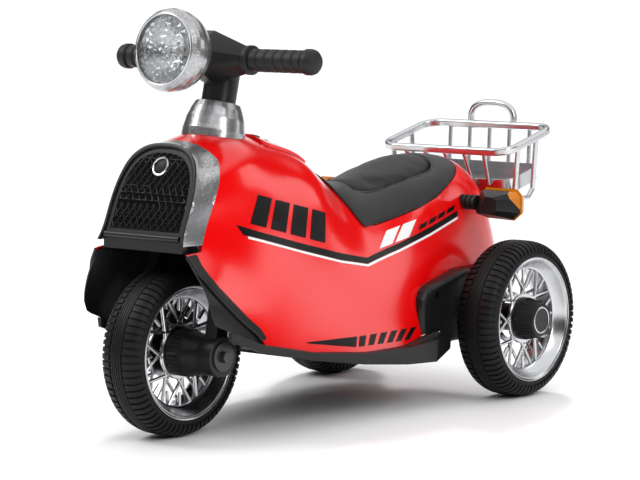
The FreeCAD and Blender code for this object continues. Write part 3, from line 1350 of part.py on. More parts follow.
def grip():
    """Left grip with flange, ribs and rounded end."""
    start = COVER_HALF_WIDTH + GAP
    end = GRIP_END_X
    outline = [(BAR_RADIUS + PRESS_GAP, start), (GRIP_FLANGE_RADIUS, start)]
    outline.append((GRIP_FLANGE_RADIUS, start + GRIP_FLANGE))
    first = start + GRIP_FLANGE
    last = end - GRIP_CAP
    step = (last - first) / GRIP_RIBS
    rise = GRIP_RIB_RADIUS - GRIP_RADIUS
    for i in range(GRIP_RIBS):
        x = first + step * i
        outline += [(GRIP_RADIUS, x + rise), (GRIP_RIB_RADIUS, x + rise * 2)]
        outline += [(GRIP_RIB_RADIUS, x + step - rise), (GRIP_RADIUS, x + step)]
    for along, reach in GRIP_CAP_SHARES:
        outline.append(((GRIP_RIB_RADIUS + rise) * reach, last + GRIP_CAP * along))
    outline += [(0, BAR_HALF_LENGTH + GAP), (BAR_RADIUS + PRESS_GAP, BAR_HALF_LENGTH + GAP)]
    return turned(lathe(outline), BAR_PLACE, X_AXIS)


# Wheels, built about Z with the outer side up


def tyre():
    half = TYRE_WIDTH / 2
    outline = [(TYRE_RADIUS * r, half * x) for x, r in TYRE_OUTLINE_SHARES]
    crown = half * TYRE_OUTLINE_SHARES[-1][0]
    outline += [(TYRE_RADIUS, crown - GROOVE_WIDTH), (TYRE_RADIUS - GROOVE_DEPTH, crown - GROOVE_WIDTH)]
    bank = crown - GROOVE_WIDTH * 2
    outline += [(TYRE_RADIUS - GROOVE_DEPTH, bank), (TYRE_RADIUS, bank)]
    outline += [(r, -x) for r, x in outline[::-1]]
    inner = []
    for x, r in TYRE_OUTLINE_SHARES:
        inner.append((TYRE_RADIUS * r - TYRE_WALL, half * x - TYRE_WALL))
    seat = RIM_RADIUS + GAP / 2
    inner = [(max(r, seat), x) for r, x in inner]
    inner[0] = (seat, inner[0][1])
    outline[0] = (seat, outline[0][1])
    outline[-1] = (seat, outline[-1][1])
    inside = [(r, -x) for r, x in inner] + inner[::-1]
    return lathe(outline + inside)


def rim():
    """Open barrel with a spoked disc on each side."""
    half = RIM_HALF_WIDTH
    near = DISC_OFFSET + DISC_THICKNESS
    dish = DISH_RADIUS + RIM_WALL
    inside = [(RIM_RADIUS - RIM_EDGE, half), (dish, near), (DISH_RADIUS, near)]
    inside += [(r, -x) for r, x in inside[::-1]]
    outside = [(RIM_RADIUS, -half), (RIM_RADIUS, -half + RIM_WALL), (dish + RIM_WALL, -near + RIM_WALL)]
    outside += [(r, -x) for r, x in outside[::-1]]
    pieces = [lathe(inside + outside)]
    disc = spoked_disc()
    pieces += [disc, disc.mirror(ORIGIN, Z_AXIS)]
    return single(fused(pieces))


def spoked_disc():
    ring = Part.makeCylinder(HUB_RING_RADIUS, DISC_THICKNESS, V(0, 0, DISC_OFFSET))
    ring = ring.cut(Part.makeCylinder(HUB_CORE_RADIUS + GAP / 2, DISC_THICKNESS, V(0, 0, DISC_OFFSET)))
    pieces = [ring]
    for i in range(SPOKE_PAIRS):
        middle = 360 * i / SPOKE_PAIRS
        for side in (-1, 1):
            start = math.radians(middle - side * SPOKE_TWIST / 2)
            end = math.radians(middle + side * SPOKE_TWIST)
            pieces.append(spoke(start, end))
    return fused(pieces)


def spoke(start, end):
    """Flat bar from the hub ring to the barrel between two angles."""
    r0 = HUB_RING_RADIUS - SPOKE_WIDTH / 2
    r1 = DISH_RADIUS + RIM_WALL / 2
    a = V(r0 * math.cos(start), r0 * math.sin(start), DISC_OFFSET)
    b = V(r1 * math.cos(end), r1 * math.sin(end), DISC_OFFSET)
    run = (b - a).normalize()
    out = V(-run.y, run.x, 0) * (SPOKE_WIDTH / 2)
    return face_of([a - out, b - out, b + out, a + out]).extrude(V(0, 0, DISC_THICKNESS))


def front_hub():
    near = DISC_OFFSET + DISC_THICKNESS + GAP / 2
    end = BOSS_INNER_X - GAP
    step = (end + near) / 2
    half = [(HUB_CORE_RADIUS, near), (HUB_BASE_RADIUS, near)]
    half += [(HUB_BASE_RADIUS, step), (FRONT_HUB_END_RADIUS, end)]
    bore = FRONT_AXLE_RADIUS + RUNNING_GAP
    outline = [(r, -x) for r, x in half[::-1]] + half + [(bore, end), (bore, -end)]
    return lathe(outline)


def rear_hub(socket):
    """Hub with a closed outer cap; the driven one has a seat for the gear's sleeve."""
    near = DISC_OFFSET + DISC_THICKNESS + GAP / 2
    inner = COVER_X + GAP - REAR_WHEEL_X
    bore = REAR_AXLE_RADIUS + RUNNING_GAP
    outline = [(HUB_CORE_RADIUS, inner), (HUB_CORE_RADIUS, near), (HUB_BASE_RADIUS, near)]
    outline += [(REAR_CAP_RADIUS, REAR_CAP_REACH), (0, REAR_CAP_REACH)]
    outline += [(0, REAR_BORE_REACH), (bore, REAR_BORE_REACH)]
    if socket:
        seat = inner + GEAR_SLEEVE_SEAT + GAP
        wide = GEAR_SLEEVE_RADIUS + PRESS_GAP
        outline += [(bore, seat), (wide, seat), (wide, inner)]
    else:
        outline += [(bore, inner)]
    return lathe(outline)


def wheel_at(shape, x, y):
    """Wheel piece with its outer side facing away from the middle."""
    side = X_AXIS if x >= 0 else -X_AXIS
    return turned(shape, V(x, y, AXLE_Z), side)


def main():
    left, right, tail = body_shells()
    export("body_shell_left", left)
    export("body_shell_right", right)
    export("tail_cover", tail)
    export("grille_trim", grille_trim())
    export("front_grille", front_grille())
    export("front_badge", front_badge())
    export("wheel_well_liner", wheel_well_liner())
    export("steering_head", steering_head())
    export("head_bushes", head_bushes())
    export("steering_collar", steering_collar())
    panel = dash_panel()
    power, hole = panel_button(POWER_PLACE_SHARE, POWER_RADIUS)
    panel = panel.cut(hole)
    music, hole = panel_button(MUSIC_PLACE_SHARE, MUSIC_RADIUS)
    panel = panel.cut(hole)
    switch, slot = direction_switch()
    export("dash_panel", single(panel.cut(slot)))
    export("power_button", power)
    export("music_button", music)
    export("direction_switch", single(switch))
    export("seat_saddle", seat_saddle())
    export("seat_cushion", seat_cushion())
    export("underbody_pan", underbody_pan())
    export("foot_pedal", foot_pedal())
    export("battery", battery())
    export("control_board", control_board())
    export("speaker", speaker())
    export("charge_socket", charge_socket())
    export("rear_axle", rear_axle())
    cover = axle_cover()
    export("axle_cover_left", single(cover.cut(cover_hole(REAR_AXLE_RADIUS + PRESS_GAP))))
    export("axle_cover_right", single(mirrored(cover.cut(cover_hole(GEAR_SLEEVE_RADIUS + GAP)))))
    export("drive_motor", drive_motor())
    export("drive_gear", drive_gear())
    export("motor_pinion", motor_pinion())
    for name, piece in zip(("indicator_stalk", "indicator_housing", "indicator_lens"), indicator()):
        export(name + "_left", piece)
        export(name + "_right", mirrored(piece))
    rim_piece = basket_rim()
    tray = basket_tray()
    export("basket_rim", rim_piece)
    export("basket_tray", tray)
    export("basket_bars", basket_bars(rim_piece, tray))
    export("basket_hoop", basket_hoop(rim_piece))
    export("rack_bracket", rack_bracket(tray, rim_piece))
    export("steering_column", steering_column())
    export("column_sleeve", column_sleeve())
    export("front_fork", front_fork())
    export("front_axle", front_axle())
    export("handlebar_cover", handlebar_cover())
    export("handlebar_tube", handlebar_tube())
    left_grip = grip()
    export("grip_left", left_grip)
    export("grip_right", mirrored(left_grip))
    export("headlight_shell", headlight_shell())
    export("headlight_lens", headlight_lens())
    export("headlight_reflector", headlight_reflector())
    export("headlight_lamp", headlight_lamp())
    tyre_piece = tyre()
    rim_disc = rim()
    places = [("front", "", 0, FRONT_AXLE_Y)]
    places.append(("rear", "_left", REAR_WHEEL_X, REAR_AXLE_Y))
    places.append(("rear", "_right", -REAR_WHEEL_X, REAR_AXLE_Y))
    for end, suffix, x, y in places:
        export(end + "_tyre" + suffix, wheel_at(tyre_piece, x, y))
        export(end + "_rim" + suffix, wheel_at(rim_disc, x, y))
    export("front_hub", wheel_at(front_hub(), 0, FRONT_AXLE_Y))
    export("rear_hub_left", wheel_at(rear_hub(False), REAR_WHEEL_X, REAR_AXLE_Y))
    export("rear_hub_right", wheel_at(rear_hub(True), -REAR_WHEEL_X, REAR_AXLE_Y))


main()
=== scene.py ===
import json
import math

import bpy
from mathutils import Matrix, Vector


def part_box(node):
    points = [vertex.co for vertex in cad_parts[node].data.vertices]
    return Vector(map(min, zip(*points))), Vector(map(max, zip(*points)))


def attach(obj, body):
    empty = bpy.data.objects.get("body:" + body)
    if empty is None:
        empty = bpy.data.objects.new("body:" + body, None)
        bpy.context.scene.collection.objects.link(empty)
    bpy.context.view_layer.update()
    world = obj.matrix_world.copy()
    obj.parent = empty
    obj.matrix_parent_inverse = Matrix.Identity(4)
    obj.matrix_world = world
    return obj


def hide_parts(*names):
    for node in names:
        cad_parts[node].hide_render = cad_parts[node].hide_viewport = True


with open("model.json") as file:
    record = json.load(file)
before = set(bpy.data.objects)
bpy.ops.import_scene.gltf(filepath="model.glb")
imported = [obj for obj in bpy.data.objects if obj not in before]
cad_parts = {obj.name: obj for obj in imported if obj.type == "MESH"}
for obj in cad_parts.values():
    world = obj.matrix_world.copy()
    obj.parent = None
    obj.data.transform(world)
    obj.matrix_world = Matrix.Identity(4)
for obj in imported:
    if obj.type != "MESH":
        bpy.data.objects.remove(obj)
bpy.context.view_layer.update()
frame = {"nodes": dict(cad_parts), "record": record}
NODES = frame["nodes"]
X_AXIS = (1, 0, 0)
Z_AXIS = (0, 0, 1)
ORIGIN = (0, 0, 0)
MERGE = 1e-5

# Camera, from the photograph's viewing angle
CAMERA_TARGET = Vector((0, -0.048, 0.27))
CAMERA_BACK = Vector((0.6263, -0.7731, 0.1004)).normalized()
CAMERA_DISTANCE = 3.8045
CAMERA_LENS = 151.69
CAMERA_SENSOR = 36.0
CAMERA_SHIFT = (0.0316, -0.0326)

# Floor and lights
FLOOR_SIZE = 200.0
FLOOR_COLOUR = (0.94, 0.94, 0.945, 1)
SKY_DIM = 0.045
SKY_BRIGHT = 1.2
SKY_EDGE = (0.42, 0.56)
BACKDROP_BRIGHT = 1.1
BACKDROP_EDGE = (-0.86, -0.95)
SUN_AIM = Vector((-0.42, 0.62, 0.66)).normalized()
SUN_STRENGTH = 1.6
SUN_ANGLE = 9.0
BIKE_MIDDLE = (0, 0, 0.25)
FLANK_MIDDLE = (0.1, -0.1, 0.2)
SOFTBOXES = (("key_softbox", (-1.7, -1.6, 2.3), BIKE_MIDDLE, (1.0, 1.0), 32),
             ("side_softbox", (2.3, -0.6, 1.5), BIKE_MIDDLE, (0.7, 1.6), 22),
             ("flank_softbox", (1.35, 1.66, 0.90), FLANK_MIDDLE, (0.66, 0.70), 2.8))

# Wheels, as (x, radius) pairs on one side
WHEELS = (("front", "", "front_wheel"), ("rear", "_left", "rear_left_wheel"), ("rear", "_right", "rear_right_wheel"))
WHEEL_STEPS = 216
LUG_STEPS = 3
LUG_HEIGHT = 0.0022
CROWN_BAND = ((0.0011, 0.1136), (0.0014, 0.1128), (0.0021, 0.1128), (0.0025, 0.1136), (0.0048, 0.1134),
              (0.0052, 0.1126), (0.0059, 0.1126), (0.0062, 0.1133), (0.0086, 0.1130), (0.0093, 0.1112))
LUG_BED = ((0.0111, 0.1112), (0.0160, 0.1107), (0.0210, 0.1095), (0.0250, 0.1076), (0.0281, 0.1048),
           (0.0299, 0.1013), (0.0307, 0.0975))
SIDE_WALL = ((0.0314, 0.0945), (0.0321, 0.0925), (0.0316, 0.0909), (0.0294, 0.0906))
RIM_SEAT = ((0.0160, 0.0785), (0.0292, 0.0904))
RIM_FACE = ((0.0317, 0.0903), (0.0320, 0.0894), (0.0316, 0.0884), (0.0302, 0.0879), (0.0296, 0.0868),
            (0.0299, 0.0857), (0.0290, 0.0849), (0.0270, 0.0842), (0.0165, 0.0762), (0.0150, 0.0748),
            (0.0143, 0.0730), (0.0125, 0.0720), (0.0080, 0.0718))
HUB_RING = ((0.0085, 0.0300), (0.0085, 0.0362), (0.0100, 0.0370), (0.0128, 0.0370), (0.0142, 0.0358),
            (0.0142, 0.0300))
SPOKE_GROUPS = 8
SPOKE_TWIST = 17.0
SPOKE_RADIUS = 0.0024
SPOKE_HUB_PLACE = (0.0118, 0.0345)
SPOKE_RIM_PLACE = (0.0112, 0.0727)
STRUT_PLACE = (0.0112, 0.0555)
FRONT_HUB_OUTLINE = ((0.0142, 0.0200), (0.0142, 0.0302), (0.0150, 0.0310), (0.0370, 0.0310), (0.0392, 0.0300),
                     (0.0628, 0.0260), (0.0636, 0.0250), (0.0636, 0.0))
FRONT_RIB = ((0.0165, 0.0308), (0.0360, 0.0308))
REAR_HUB_OUTLINE = ((-0.0436, 0.0), (-0.0436, 0.0195), (-0.0430, 0.0200), (0.0142, 0.0200), (0.0142, 0.0300),
                    (0.0152, 0.0308), (0.0170, 0.0305), (0.0415, 0.0247), (0.0438, 0.0240), (0.0446, 0.0228),
                    (0.0446, 0.0205), (0.0436, 0.0200), (0.0436, 0.0))
REAR_RIB = ((0.0175, 0.0300), (0.0405, 0.0245))
RIB_RADIUS = 0.0012
RIB_COUNT = 34
CAP_RING = ((0.0432, 0.0172), (0.0444, 0.0172), (0.0448, 0.0179), (0.0448, 0.0188), (0.0444, 0.0195),
            (0.0432, 0.0195))

# Nose: the plane that the grille lies on, its lattice, the near-black sheet of painted shade under the lattice, and its
# badge
NOSE_POINT = Vector((0, -0.38252, 0.262))
NOSE_AIM = Vector((0, -0.9187, 0.3950)).normalized()
GRILLE_RECESS = 0.0015
LATTICE_PITCH = 0.0098
LATTICE_STRUT = 0.0019
LATTICE_LIFT = 0.0007
# Thickness of the near-black sheet of painted shade on the grille floor
SHADE_SHEET_THICKNESS = 0.0002
LATTICE_ROWS = 16
LATTICE_MIDDLE = Vector((0, -0.36, 0.32))
BADGE_PLACE = (0, -0.3379, 0.3622)
BADGE_RING = ((0.0000, 0.0104), (0.0034, 0.0106), (0.0043, 0.0114), (0.0044, 0.0126), (0.0036, 0.0136),
              (0.0020, 0.0140), (0.0000, 0.0140))
BADGE_FACE = ((0.0036, 0.0), (0.0034, 0.0030), (0.0026, 0.0064), (0.0014, 0.0092), (0.0010, 0.0108), (0.0, 0.0108),
              (0.0, 0.0))

# Headlight, as (distance ahead, radius) pairs
LIGHT_AIM = (0, -0.9903, 0.1392)
LENS_PLACE = (0, -0.33185, 0.5176)
LENS_RADIUS = 0.0452
LENS_SWELL = 0.0050
LENS_RINGS = 5
LENS_STEPS = 22
LENS_DIMPLE = 0.0012
LENS_BACK = ((-0.0030, LENS_RADIUS), (-0.0030, LENS_RADIUS * 0.5), (-0.0030, 0))
TEETH = 72
TOOTH = ((0.0006, 0, 0.0418), (0.0002, 0, 0.0447))
TOOTH_RADIUS = 0.0009
BEZEL_PLACE = (0, -0.3351, 0.51806)
BEZEL = ((-0.0030, 0.0461), (0.0006, 0.0461), (0.0014, 0.0466), (0.0017, 0.0476), (0.0012, 0.0486), (0.0, 0.0490),
         (-0.0012, 0.0488), (-0.0030, 0.0480))

# Seat: half-widths of the pad's edge along the bike
PAD_EDGE = ((0.0000, 0.0288), (0.0190, 0.0288), (0.0330, 0.0315), (0.0460, 0.0420), (0.0530, 0.0700),
            (0.0608, 0.1086), (0.0640, 0.1492), (0.0596, 0.1820), (0.0480, 0.2030), (0.0300, 0.2130),
            (0.0140, 0.2155), (0.0000, 0.2160))
PIPING_RADIUS = 0.0013
PIPING_HEIGHT = 0.45
PIPING_SMOOTHING = 3
PAD_SHRINK = 0.0012
PAD_VOXEL = 0.0045
PAD_PRESSURE = 4.0
PAD_FRAMES = 20
PAD_CAP = 0.003
PAD_SIDE_CAP = 0.0003
PAD_LEVELS = (0.3, 0.95)
SEAT_SMOOTHING = 10
PAD_REGROW = 0.0031
SADDLE_VOXEL = 0.0022
SADDLE_REGROW = 0.0011

# Apron ahead of the saddle: its front edge as (half-width, y) pairs
APRON_FRONT = ((0.0000, -0.0500), (0.0200, -0.0475), (0.0424, -0.0375), (0.0521, -0.0294), (0.0617, -0.0189),
               (0.0720, -0.0091), (0.0769, -0.0040), (0.0785, 0.0040))
APRON_BACK = ((0.0000, 0.0340), (0.0219, 0.0315), (0.0356, 0.0260), (0.0487, 0.0228), (0.0583, 0.0205),
              (0.0663, 0.0190), (0.0785, 0.0185))
APRON_BED = ("body_shell_left", "body_shell_right", "seat_saddle", "seat_cushion")
APRON_HEIGHT = 0.45
APRON_LAID = 0.36
APRON_SMOOTHING = 6
APRON_COLUMNS = 81
APRON_ROWS = 24
APRON_LIFT = 0.0010
APRON_THICKNESS = 0.0022

# Indicator on the left: cuts through its pod, as (point, normal) planes
POD_ROOT_CUT = ((0.124, 0.215, 0.280), (-0.623, -0.727, 0.290))
POD_LENS_CUT = ((0.1775, 0.215, 0.2855), (0.810, 0, 0.588))
POD_ROUND = 0.0016
POD_SHARP = 14

# Hoop over the basket
HANDLE_RADIUS = 0.0052
HANDLE_STEPS = 48
HANDLE_SQUARE = 0.75
HANDLE_SPRING = 0.386

# Rounding of the handlebar housing
HOUSING_ROUND = 0.0018
HOUSING_SHARP = 14

# Stickers on the left shell, as (y, z) lines; all but the last foot bars are repeated on the right
STICKER_REACH = 0.25
STICKER_LIFT = 0.0003
STICKER_THICKNESS = 0.0003
STRIPE_TOP = ((-0.287, 0.2864), (-0.243, 0.2737), (-0.162, 0.2523), (-0.078, 0.2314), (-0.0176, 0.2192),
              (0.061, 0.2335), (0.135, 0.2502), (0.206, 0.2688))
STRIPE_FOOT = ((-0.276, 0.2724), (-0.245, 0.2646), (-0.164, 0.2431), (-0.081, 0.2222), (-0.0204, 0.2112),
               (0.0585, 0.2252), (0.1336, 0.2417), (0.204, 0.2602))
PINSTRIPE_TOP = ((-0.268, 0.2699), (-0.245, 0.2641), (-0.164, 0.2426), (-0.081, 0.2217), (-0.0204, 0.2107),
                 (0.0585, 0.2247), (0.1336, 0.2412), (0.204, 0.2597))
PINSTRIPE_FOOT = tuple((y, z - 0.0032) for y, z in PINSTRIPE_TOP)
SIDE_BARS_FOOT = ((-0.260, 0.286), (-0.105, 0.247))
SIDE_BARS_TOP = ((-0.239, 0.323), (-0.094, 0.2875))
PALE_BARS_FOOT = ((0.0157, 0.2288), (0.0835, 0.2400))
PALE_BARS_TOP = ((0.041, 0.252), (0.105, 0.264))
DASH_FOOT = ((0.108, 0.2480), (0.196, 0.2700))
DASH_TOP = ((0.112, 0.2550), (0.202, 0.2775))
FOOT_BAND_TOP = ((-0.191, 0.1225), (-0.082, 0.1185))
FOOT_BAND_FOOT = ((-0.187, 0.1205), (-0.090, 0.1050))
FOOT_BARS_TOP = ((-0.076, 0.1182), (0.071, 0.1160))
FOOT_BARS_FOOT = ((-0.084, 0.1048), (0.043, 0.1010))
SIDE_BARS = ((0, 0.2), (0.26, 0.46), (0.52, 0.72), (0.78, 0.98))
PALE_BARS = ((0, 0.44), (0.54, 1))
DASHES = ((0, 0.2), (0.26, 0.46), (0.52, 0.72), (0.78, 1))
FOOT_BAR_COUNT = 6
FOOT_BAR_WIDTH = 0.1
BARS_BEFORE_PEDAL = 3
FLARE_FRONT = ((-0.3785, 0.2530), (-0.3735, 0.2340), (-0.3662, 0.2210), (-0.3535, 0.2035), (-0.3335, 0.1840),
               (-0.3095, 0.1625), (-0.2850, 0.1445), (-0.2765, 0.1335))
FLARE_BACK = ((-0.3640, 0.2535), (-0.3630, 0.2390), (-0.3575, 0.2265), (-0.3460, 0.2095), (-0.3265, 0.1900),
              (-0.3030, 0.1685), (-0.2790, 0.1500), (-0.2700, 0.1375))
EDGE_STRIP_THICKNESS = 0.0009
EDGE_BEAD_STEPS = 60
EDGE_BEAD_SHIFT = (-0.0016, -0.0022, 0)
EDGE_BEAD_RADIUS = 0.0026
EDGE_BEAD_SMOOTHING = 4
TRIM_FOOT = (0, 0, 0.2645)
TRIM_SLIVER = 0.0003
FRAME_HEIGHT = 0.0030
FRAME_ROUND = 0.0014


# Selecting and shaping


def clear():
    bpy.ops.object.select_all(action="DESELECT")


def only(piece):
    """Leaves one object selected and active."""
    clear()
    piece.select_set(True)
    bpy.context.view_layer.objects.active = piece
    return piece


def added(name):
    """Names the object that an operator has just added."""
    piece = bpy.context.active_object
    piece.name = name
    piece.data.name = name
    return piece


def everything(part):
    return True


def choose(piece, test=everything, kind="FACE"):
    """Opens edit mode with the faces, edges or points that pass the test selected."""
    only(piece)
    bpy.ops.object.mode_set(mode="EDIT")
    bpy.ops.mesh.select_mode(type=kind)
    bpy.ops.mesh.select_all(action="DESELECT")
    bpy.ops.object.mode_set(mode="OBJECT")
    parts = {"FACE": piece.data.polygons, "EDGE": piece.data.edges, "VERT": piece.data.vertices}[kind]
    for part in parts:
        part.select = test(part)
    bpy.ops.object.mode_set(mode="EDIT")


def leave():
    bpy.ops.object.mode_set(mode="OBJECT")


def merged(piece):
    """Closes seams and turns the faces outwards."""
    choose(piece)
    bpy.ops.mesh.remove_doubles(threshold=MERGE)
    bpy.ops.mesh.select_all(action="SELECT")
    bpy.ops.mesh.normals_make_consistent(inside=False)
    leave()
    return piece


def smooth(piece, angle=35):
    only(piece)
    bpy.ops.object.shade_smooth_by_angle(angle=math.radians(angle))
    return piece


def shaped(piece, kind, **settings):
    """Adds a modifier and applies it."""
    only(piece)
    modifier = piece.modifiers.new(kind.lower(), kind)
    for name, value in settings.items():
        setattr(modifier, name, value)
    bpy.ops.object.modifier_apply(modifier=modifier.name)
    return piece


def evened(piece, times):
    """Smooths a mesh's points a number of times."""
    return shaped(piece, "SMOOTH", factor=0.5, iterations=times)


def settled(piece):
    """Puts the piece's place, turn and size into its mesh."""
    only(piece)
    bpy.ops.object.transform_apply(location=True, rotation=True, scale=True)
    return piece


def joined(name, pieces):
    only(pieces[0])
    for piece in pieces:
        piece.select_set(True)
    bpy.ops.object.join()
    return added(name)


def copied(piece, name):
    only(piece)
    bpy.ops.object.duplicate()
    return added(name)


def mirrored(piece, name):
    """Copy of a piece on the bike's other side."""
    other = copied(piece, name)
    other.scale.x = -1
    return merged(settled(other))


def turned(name, outline, steps, closed=True):
    """Shape turned about X from (x, radius) pairs."""
    clear()
    bpy.ops.mesh.primitive_circle_add(vertices=len(outline))
    piece = added(name)
    for point, (x, radius) in zip(piece.data.vertices, outline):
        point.co = (x, 0, radius)
    if not closed:
        ends = {0, len(outline) - 1}
        choose(piece, lambda edge: set(edge.vertices) == ends, "EDGE")
        bpy.ops.mesh.delete(type="EDGE")
        leave()
    choose(piece, kind="EDGE")
    bpy.ops.mesh.spin(steps=steps, angle=math.tau, center=ORIGIN, axis=X_AXIS)
    leave()
    return merged(piece)


def ringed(piece, count):
    """Copies a shape round X, count in all."""
    choose(piece)
    angle = math.tau * (count - 1) / count
    bpy.ops.mesh.spin(steps=count - 1, dupli=True, angle=angle, center=ORIGIN, axis=X_AXIS)
    leave()
    return piece


def rod(name, start, end, radius, sides=10):
    """Round bar between two points."""
    start, end = Vector(start), Vector(end)
    run = end - start
    clear()
    turn = run.to_track_quat("Z", "Y").to_euler()
    bpy.ops.mesh.primitive_cylinder_add(vertices=sides, radius=radius, depth=run.length, rotation=turn)
    piece = added(name)
    piece.location = (start + end) / 2
    return settled(piece)


def tubed(path, radius):
    """Turns a line of edges into a round tube."""
    only(path)
    bpy.ops.object.convert(target="CURVE")
    path.data.bevel_depth = radius
    path.data.bevel_resolution = 4
    path.data.use_fill_caps = True
    bpy.ops.object.convert(target="MESH")
    return merged(path)


def both_sides(half):
    """(x, radius) pairs from one side of a wheel carried over to the other."""
    return list(half) + [(-x, radius) for x, radius in half[::-1]]


def around(x, radius, degrees):
    turn = math.radians(degrees)
    return (x, radius * math.sin(turn), radius * math.cos(turn))


def middle_of(node):
    low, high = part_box(node)
    return (low + high) / 2


def aimed(piece, place, aim):
    """Moves a shape built along X so that X runs along aim from place."""
    piece.location = place
    piece.rotation_euler = Vector(aim).to_track_quat("X", "Z").to_euler()
    return settled(piece)


def given(piece, body, slot, *nodes, look=None):
    """Gives a piece its material, from its slot unless a look is given, puts it on its body and hides the nodes that it
    stands for.
    """
    piece.data.materials.clear()
    piece.data.materials.append(look or SLOT_FINISHES[slot])
    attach(piece, body)
    if nodes:
        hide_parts(*nodes)
    return piece


def node_copy(node, name):
    """Copy of a CAD node's mesh with its seams closed."""
    piece = bpy.data.objects.new(name, NODES[node].data.copy())
    bpy.context.scene.collection.objects.link(piece)
    return merged(piece)


def softened(piece, width, segments=3, sharp=30):
    """Joins flat faces and rounds the sharp edges."""
    choose(piece)
    bpy.ops.mesh.dissolve_limited(angle_limit=math.radians(3))
    leave()
    shaped(piece, "BEVEL", width=width, segments=segments, limit_method="ANGLE", angle_limit=math.radians(sharp))
    return smooth(piece, sharp)


def along_line(points, share):
    """Point of a line of (y, z) pairs, by its share of the line's length."""
    points = [Vector(point) for point in points]
    runs = [(b - a).length for a, b in zip(points, points[1:])]
    left = share * sum(runs)
    for start, end, run in zip(points, points[1:], runs):
        if left <= run:
            return start.lerp(end, left / run)
        left -= run
    return points[-1]


def across_line(points, width):
    """Second value of a line of pairs, where the first one is the given width."""
    for (near, start), (far, end) in zip(points, points[1:]):
        if width <= far:
            return start + (end - start) * (width - near) / (far - near)
    return points[-1][1]


# Stage


def studio_camera():
    clear()
    bpy.ops.object.camera_add(location=CAMERA_TARGET + CAMERA_BACK * CAMERA_DISTANCE)
    camera = added("photo_camera")
    camera.rotation_euler = CAMERA_BACK.to_track_quat("Z", "Y").to_euler()
    camera.data.sensor_width = CAMERA_SENSOR
    camera.data.lens = CAMERA_LENS
    camera.data.shift_x, camera.data.shift_y = CAMERA_SHIFT
    bpy.context.scene.camera = camera


def studio_floor():
    clear()
    bpy.ops.mesh.primitive_plane_add(size=FLOOR_SIZE)
    floor = added("studio_floor")
    floor.data.materials.append(pale_floor())


def softbox(name, place, aim, size, power):
    """Oblong area light that faces a point."""
    clear()
    bpy.ops.object.light_add(type="AREA", location=place)
    light = added(name)
    light.data.shape = "RECTANGLE"
    light.data.size, light.data.size_y = size
    light.data.energy = power
    light.rotation_euler = (Vector(place) - Vector(aim)).to_track_quat("Z", "Y").to_euler()


def glow(tree, aim, edge, strength):
    """Light that comes on over an edge of directions, measured along aim."""
    look = tree.nodes.new("ShaderNodeTexCoord")
    facing = tree.nodes.new("ShaderNodeVectorMath")
    facing.operation = "DOT_PRODUCT"
    facing.inputs[1].default_value = aim
    ramp = tree.nodes.new("ShaderNodeMapRange")
    ramp.interpolation_type = "SMOOTHSTEP"
    ramp.inputs["From Min"].default_value, ramp.inputs["From Max"].default_value = edge
    ramp.inputs["To Min"].default_value, ramp.inputs["To Max"].default_value = SKY_DIM, strength
    tree.links.new(look.outputs["Generated"], facing.inputs[0])
    tree.links.new(facing.outputs["Value"], ramp.inputs["Value"])
    return ramp.outputs["Result"]


def studio_light():
    """Bright ceiling and backdrop in a dim room, with softboxes round the bike."""
    world = bpy.data.worlds.new("studio")
    world.use_nodes = True
    tree = world.node_tree
    brighter = tree.nodes.new("ShaderNodeMath")
    brighter.operation = "MAXIMUM"
    tree.links.new(glow(tree, Z_AXIS, SKY_EDGE, SKY_BRIGHT), brighter.inputs[0])
    tree.links.new(glow(tree, CAMERA_BACK, BACKDROP_EDGE, BACKDROP_BRIGHT), brighter.inputs[1])
    tree.links.new(brighter.outputs["Value"], tree.nodes["Background"].inputs["Strength"])
    tree.nodes["Background"].inputs["Color"].default_value = (1, 1, 1, 1)
    bpy.context.scene.world = world
    bpy.context.scene.view_settings.view_transform = "Standard"
    for row in SOFTBOXES:
        softbox(*row)
    clear()
    bpy.ops.object.light_add(type="SUN", rotation=SUN_AIM.to_track_quat("Z", "Y").to_euler())
    sun = added("back_light")
    sun.data.energy = SUN_STRENGTH
    sun.data.angle = math.radians(SUN_ANGLE)
    sun.visible_glossy = False


# Materials


def shader_of(name):
    """New material with its tree and its main shader."""
    made = bpy.data.materials.new(name)
    made.use_nodes = True
    return made, made.node_tree, made.node_tree.nodes["Principled BSDF"]


def noise(tree, scale, detail=3.0):
    """Noise on Object coordinates."""
    place = tree.nodes.new("ShaderNodeTexCoord")
    pattern = tree.nodes.new("ShaderNodeTexNoise")
    pattern.inputs["Scale"].default_value = scale
    pattern.inputs["Detail"].default_value = detail
    tree.links.new(place.outputs["Object"], pattern.inputs["Vector"])
    return pattern.outputs["Fac"]


def cells(tree, scale, output="Distance"):
    """Cell pattern on Object coordinates."""
    place = tree.nodes.new("ShaderNodeTexCoord")
    pattern = tree.nodes.new("ShaderNodeTexVoronoi")
    pattern.inputs["Scale"].default_value = scale
    tree.links.new(place.outputs["Object"], pattern.inputs["Vector"])
    return pattern.outputs[output]


def spread(tree, value, low, high):
    """Value from 0 to 1 carried to a range."""
    ramp = tree.nodes.new("ShaderNodeMapRange")
    ramp.inputs["To Min"].default_value = low
    ramp.inputs["To Max"].default_value = high
    tree.links.new(value, ramp.inputs["Value"])
    return ramp.outputs["Result"]


def tinted(tree, value, dark, light):
    """Colour between two colours, by a value."""
    mix = tree.nodes.new("ShaderNodeMix")
    mix.data_type = "RGBA"
    mix.inputs["A"].default_value = (*dark, 1)
    mix.inputs["B"].default_value = (*light, 1)
    tree.links.new(value, mix.inputs["Factor"])
    return mix.outputs["Result"]


def bumped(tree, shader, height, strength, distance):
    bump = tree.nodes.new("ShaderNodeBump")
    bump.inputs["Strength"].default_value = strength
    bump.inputs["Distance"].default_value = distance
    tree.links.new(height, bump.inputs["Height"])
    tree.links.new(bump.outputs["Normal"], shader.inputs["Normal"])


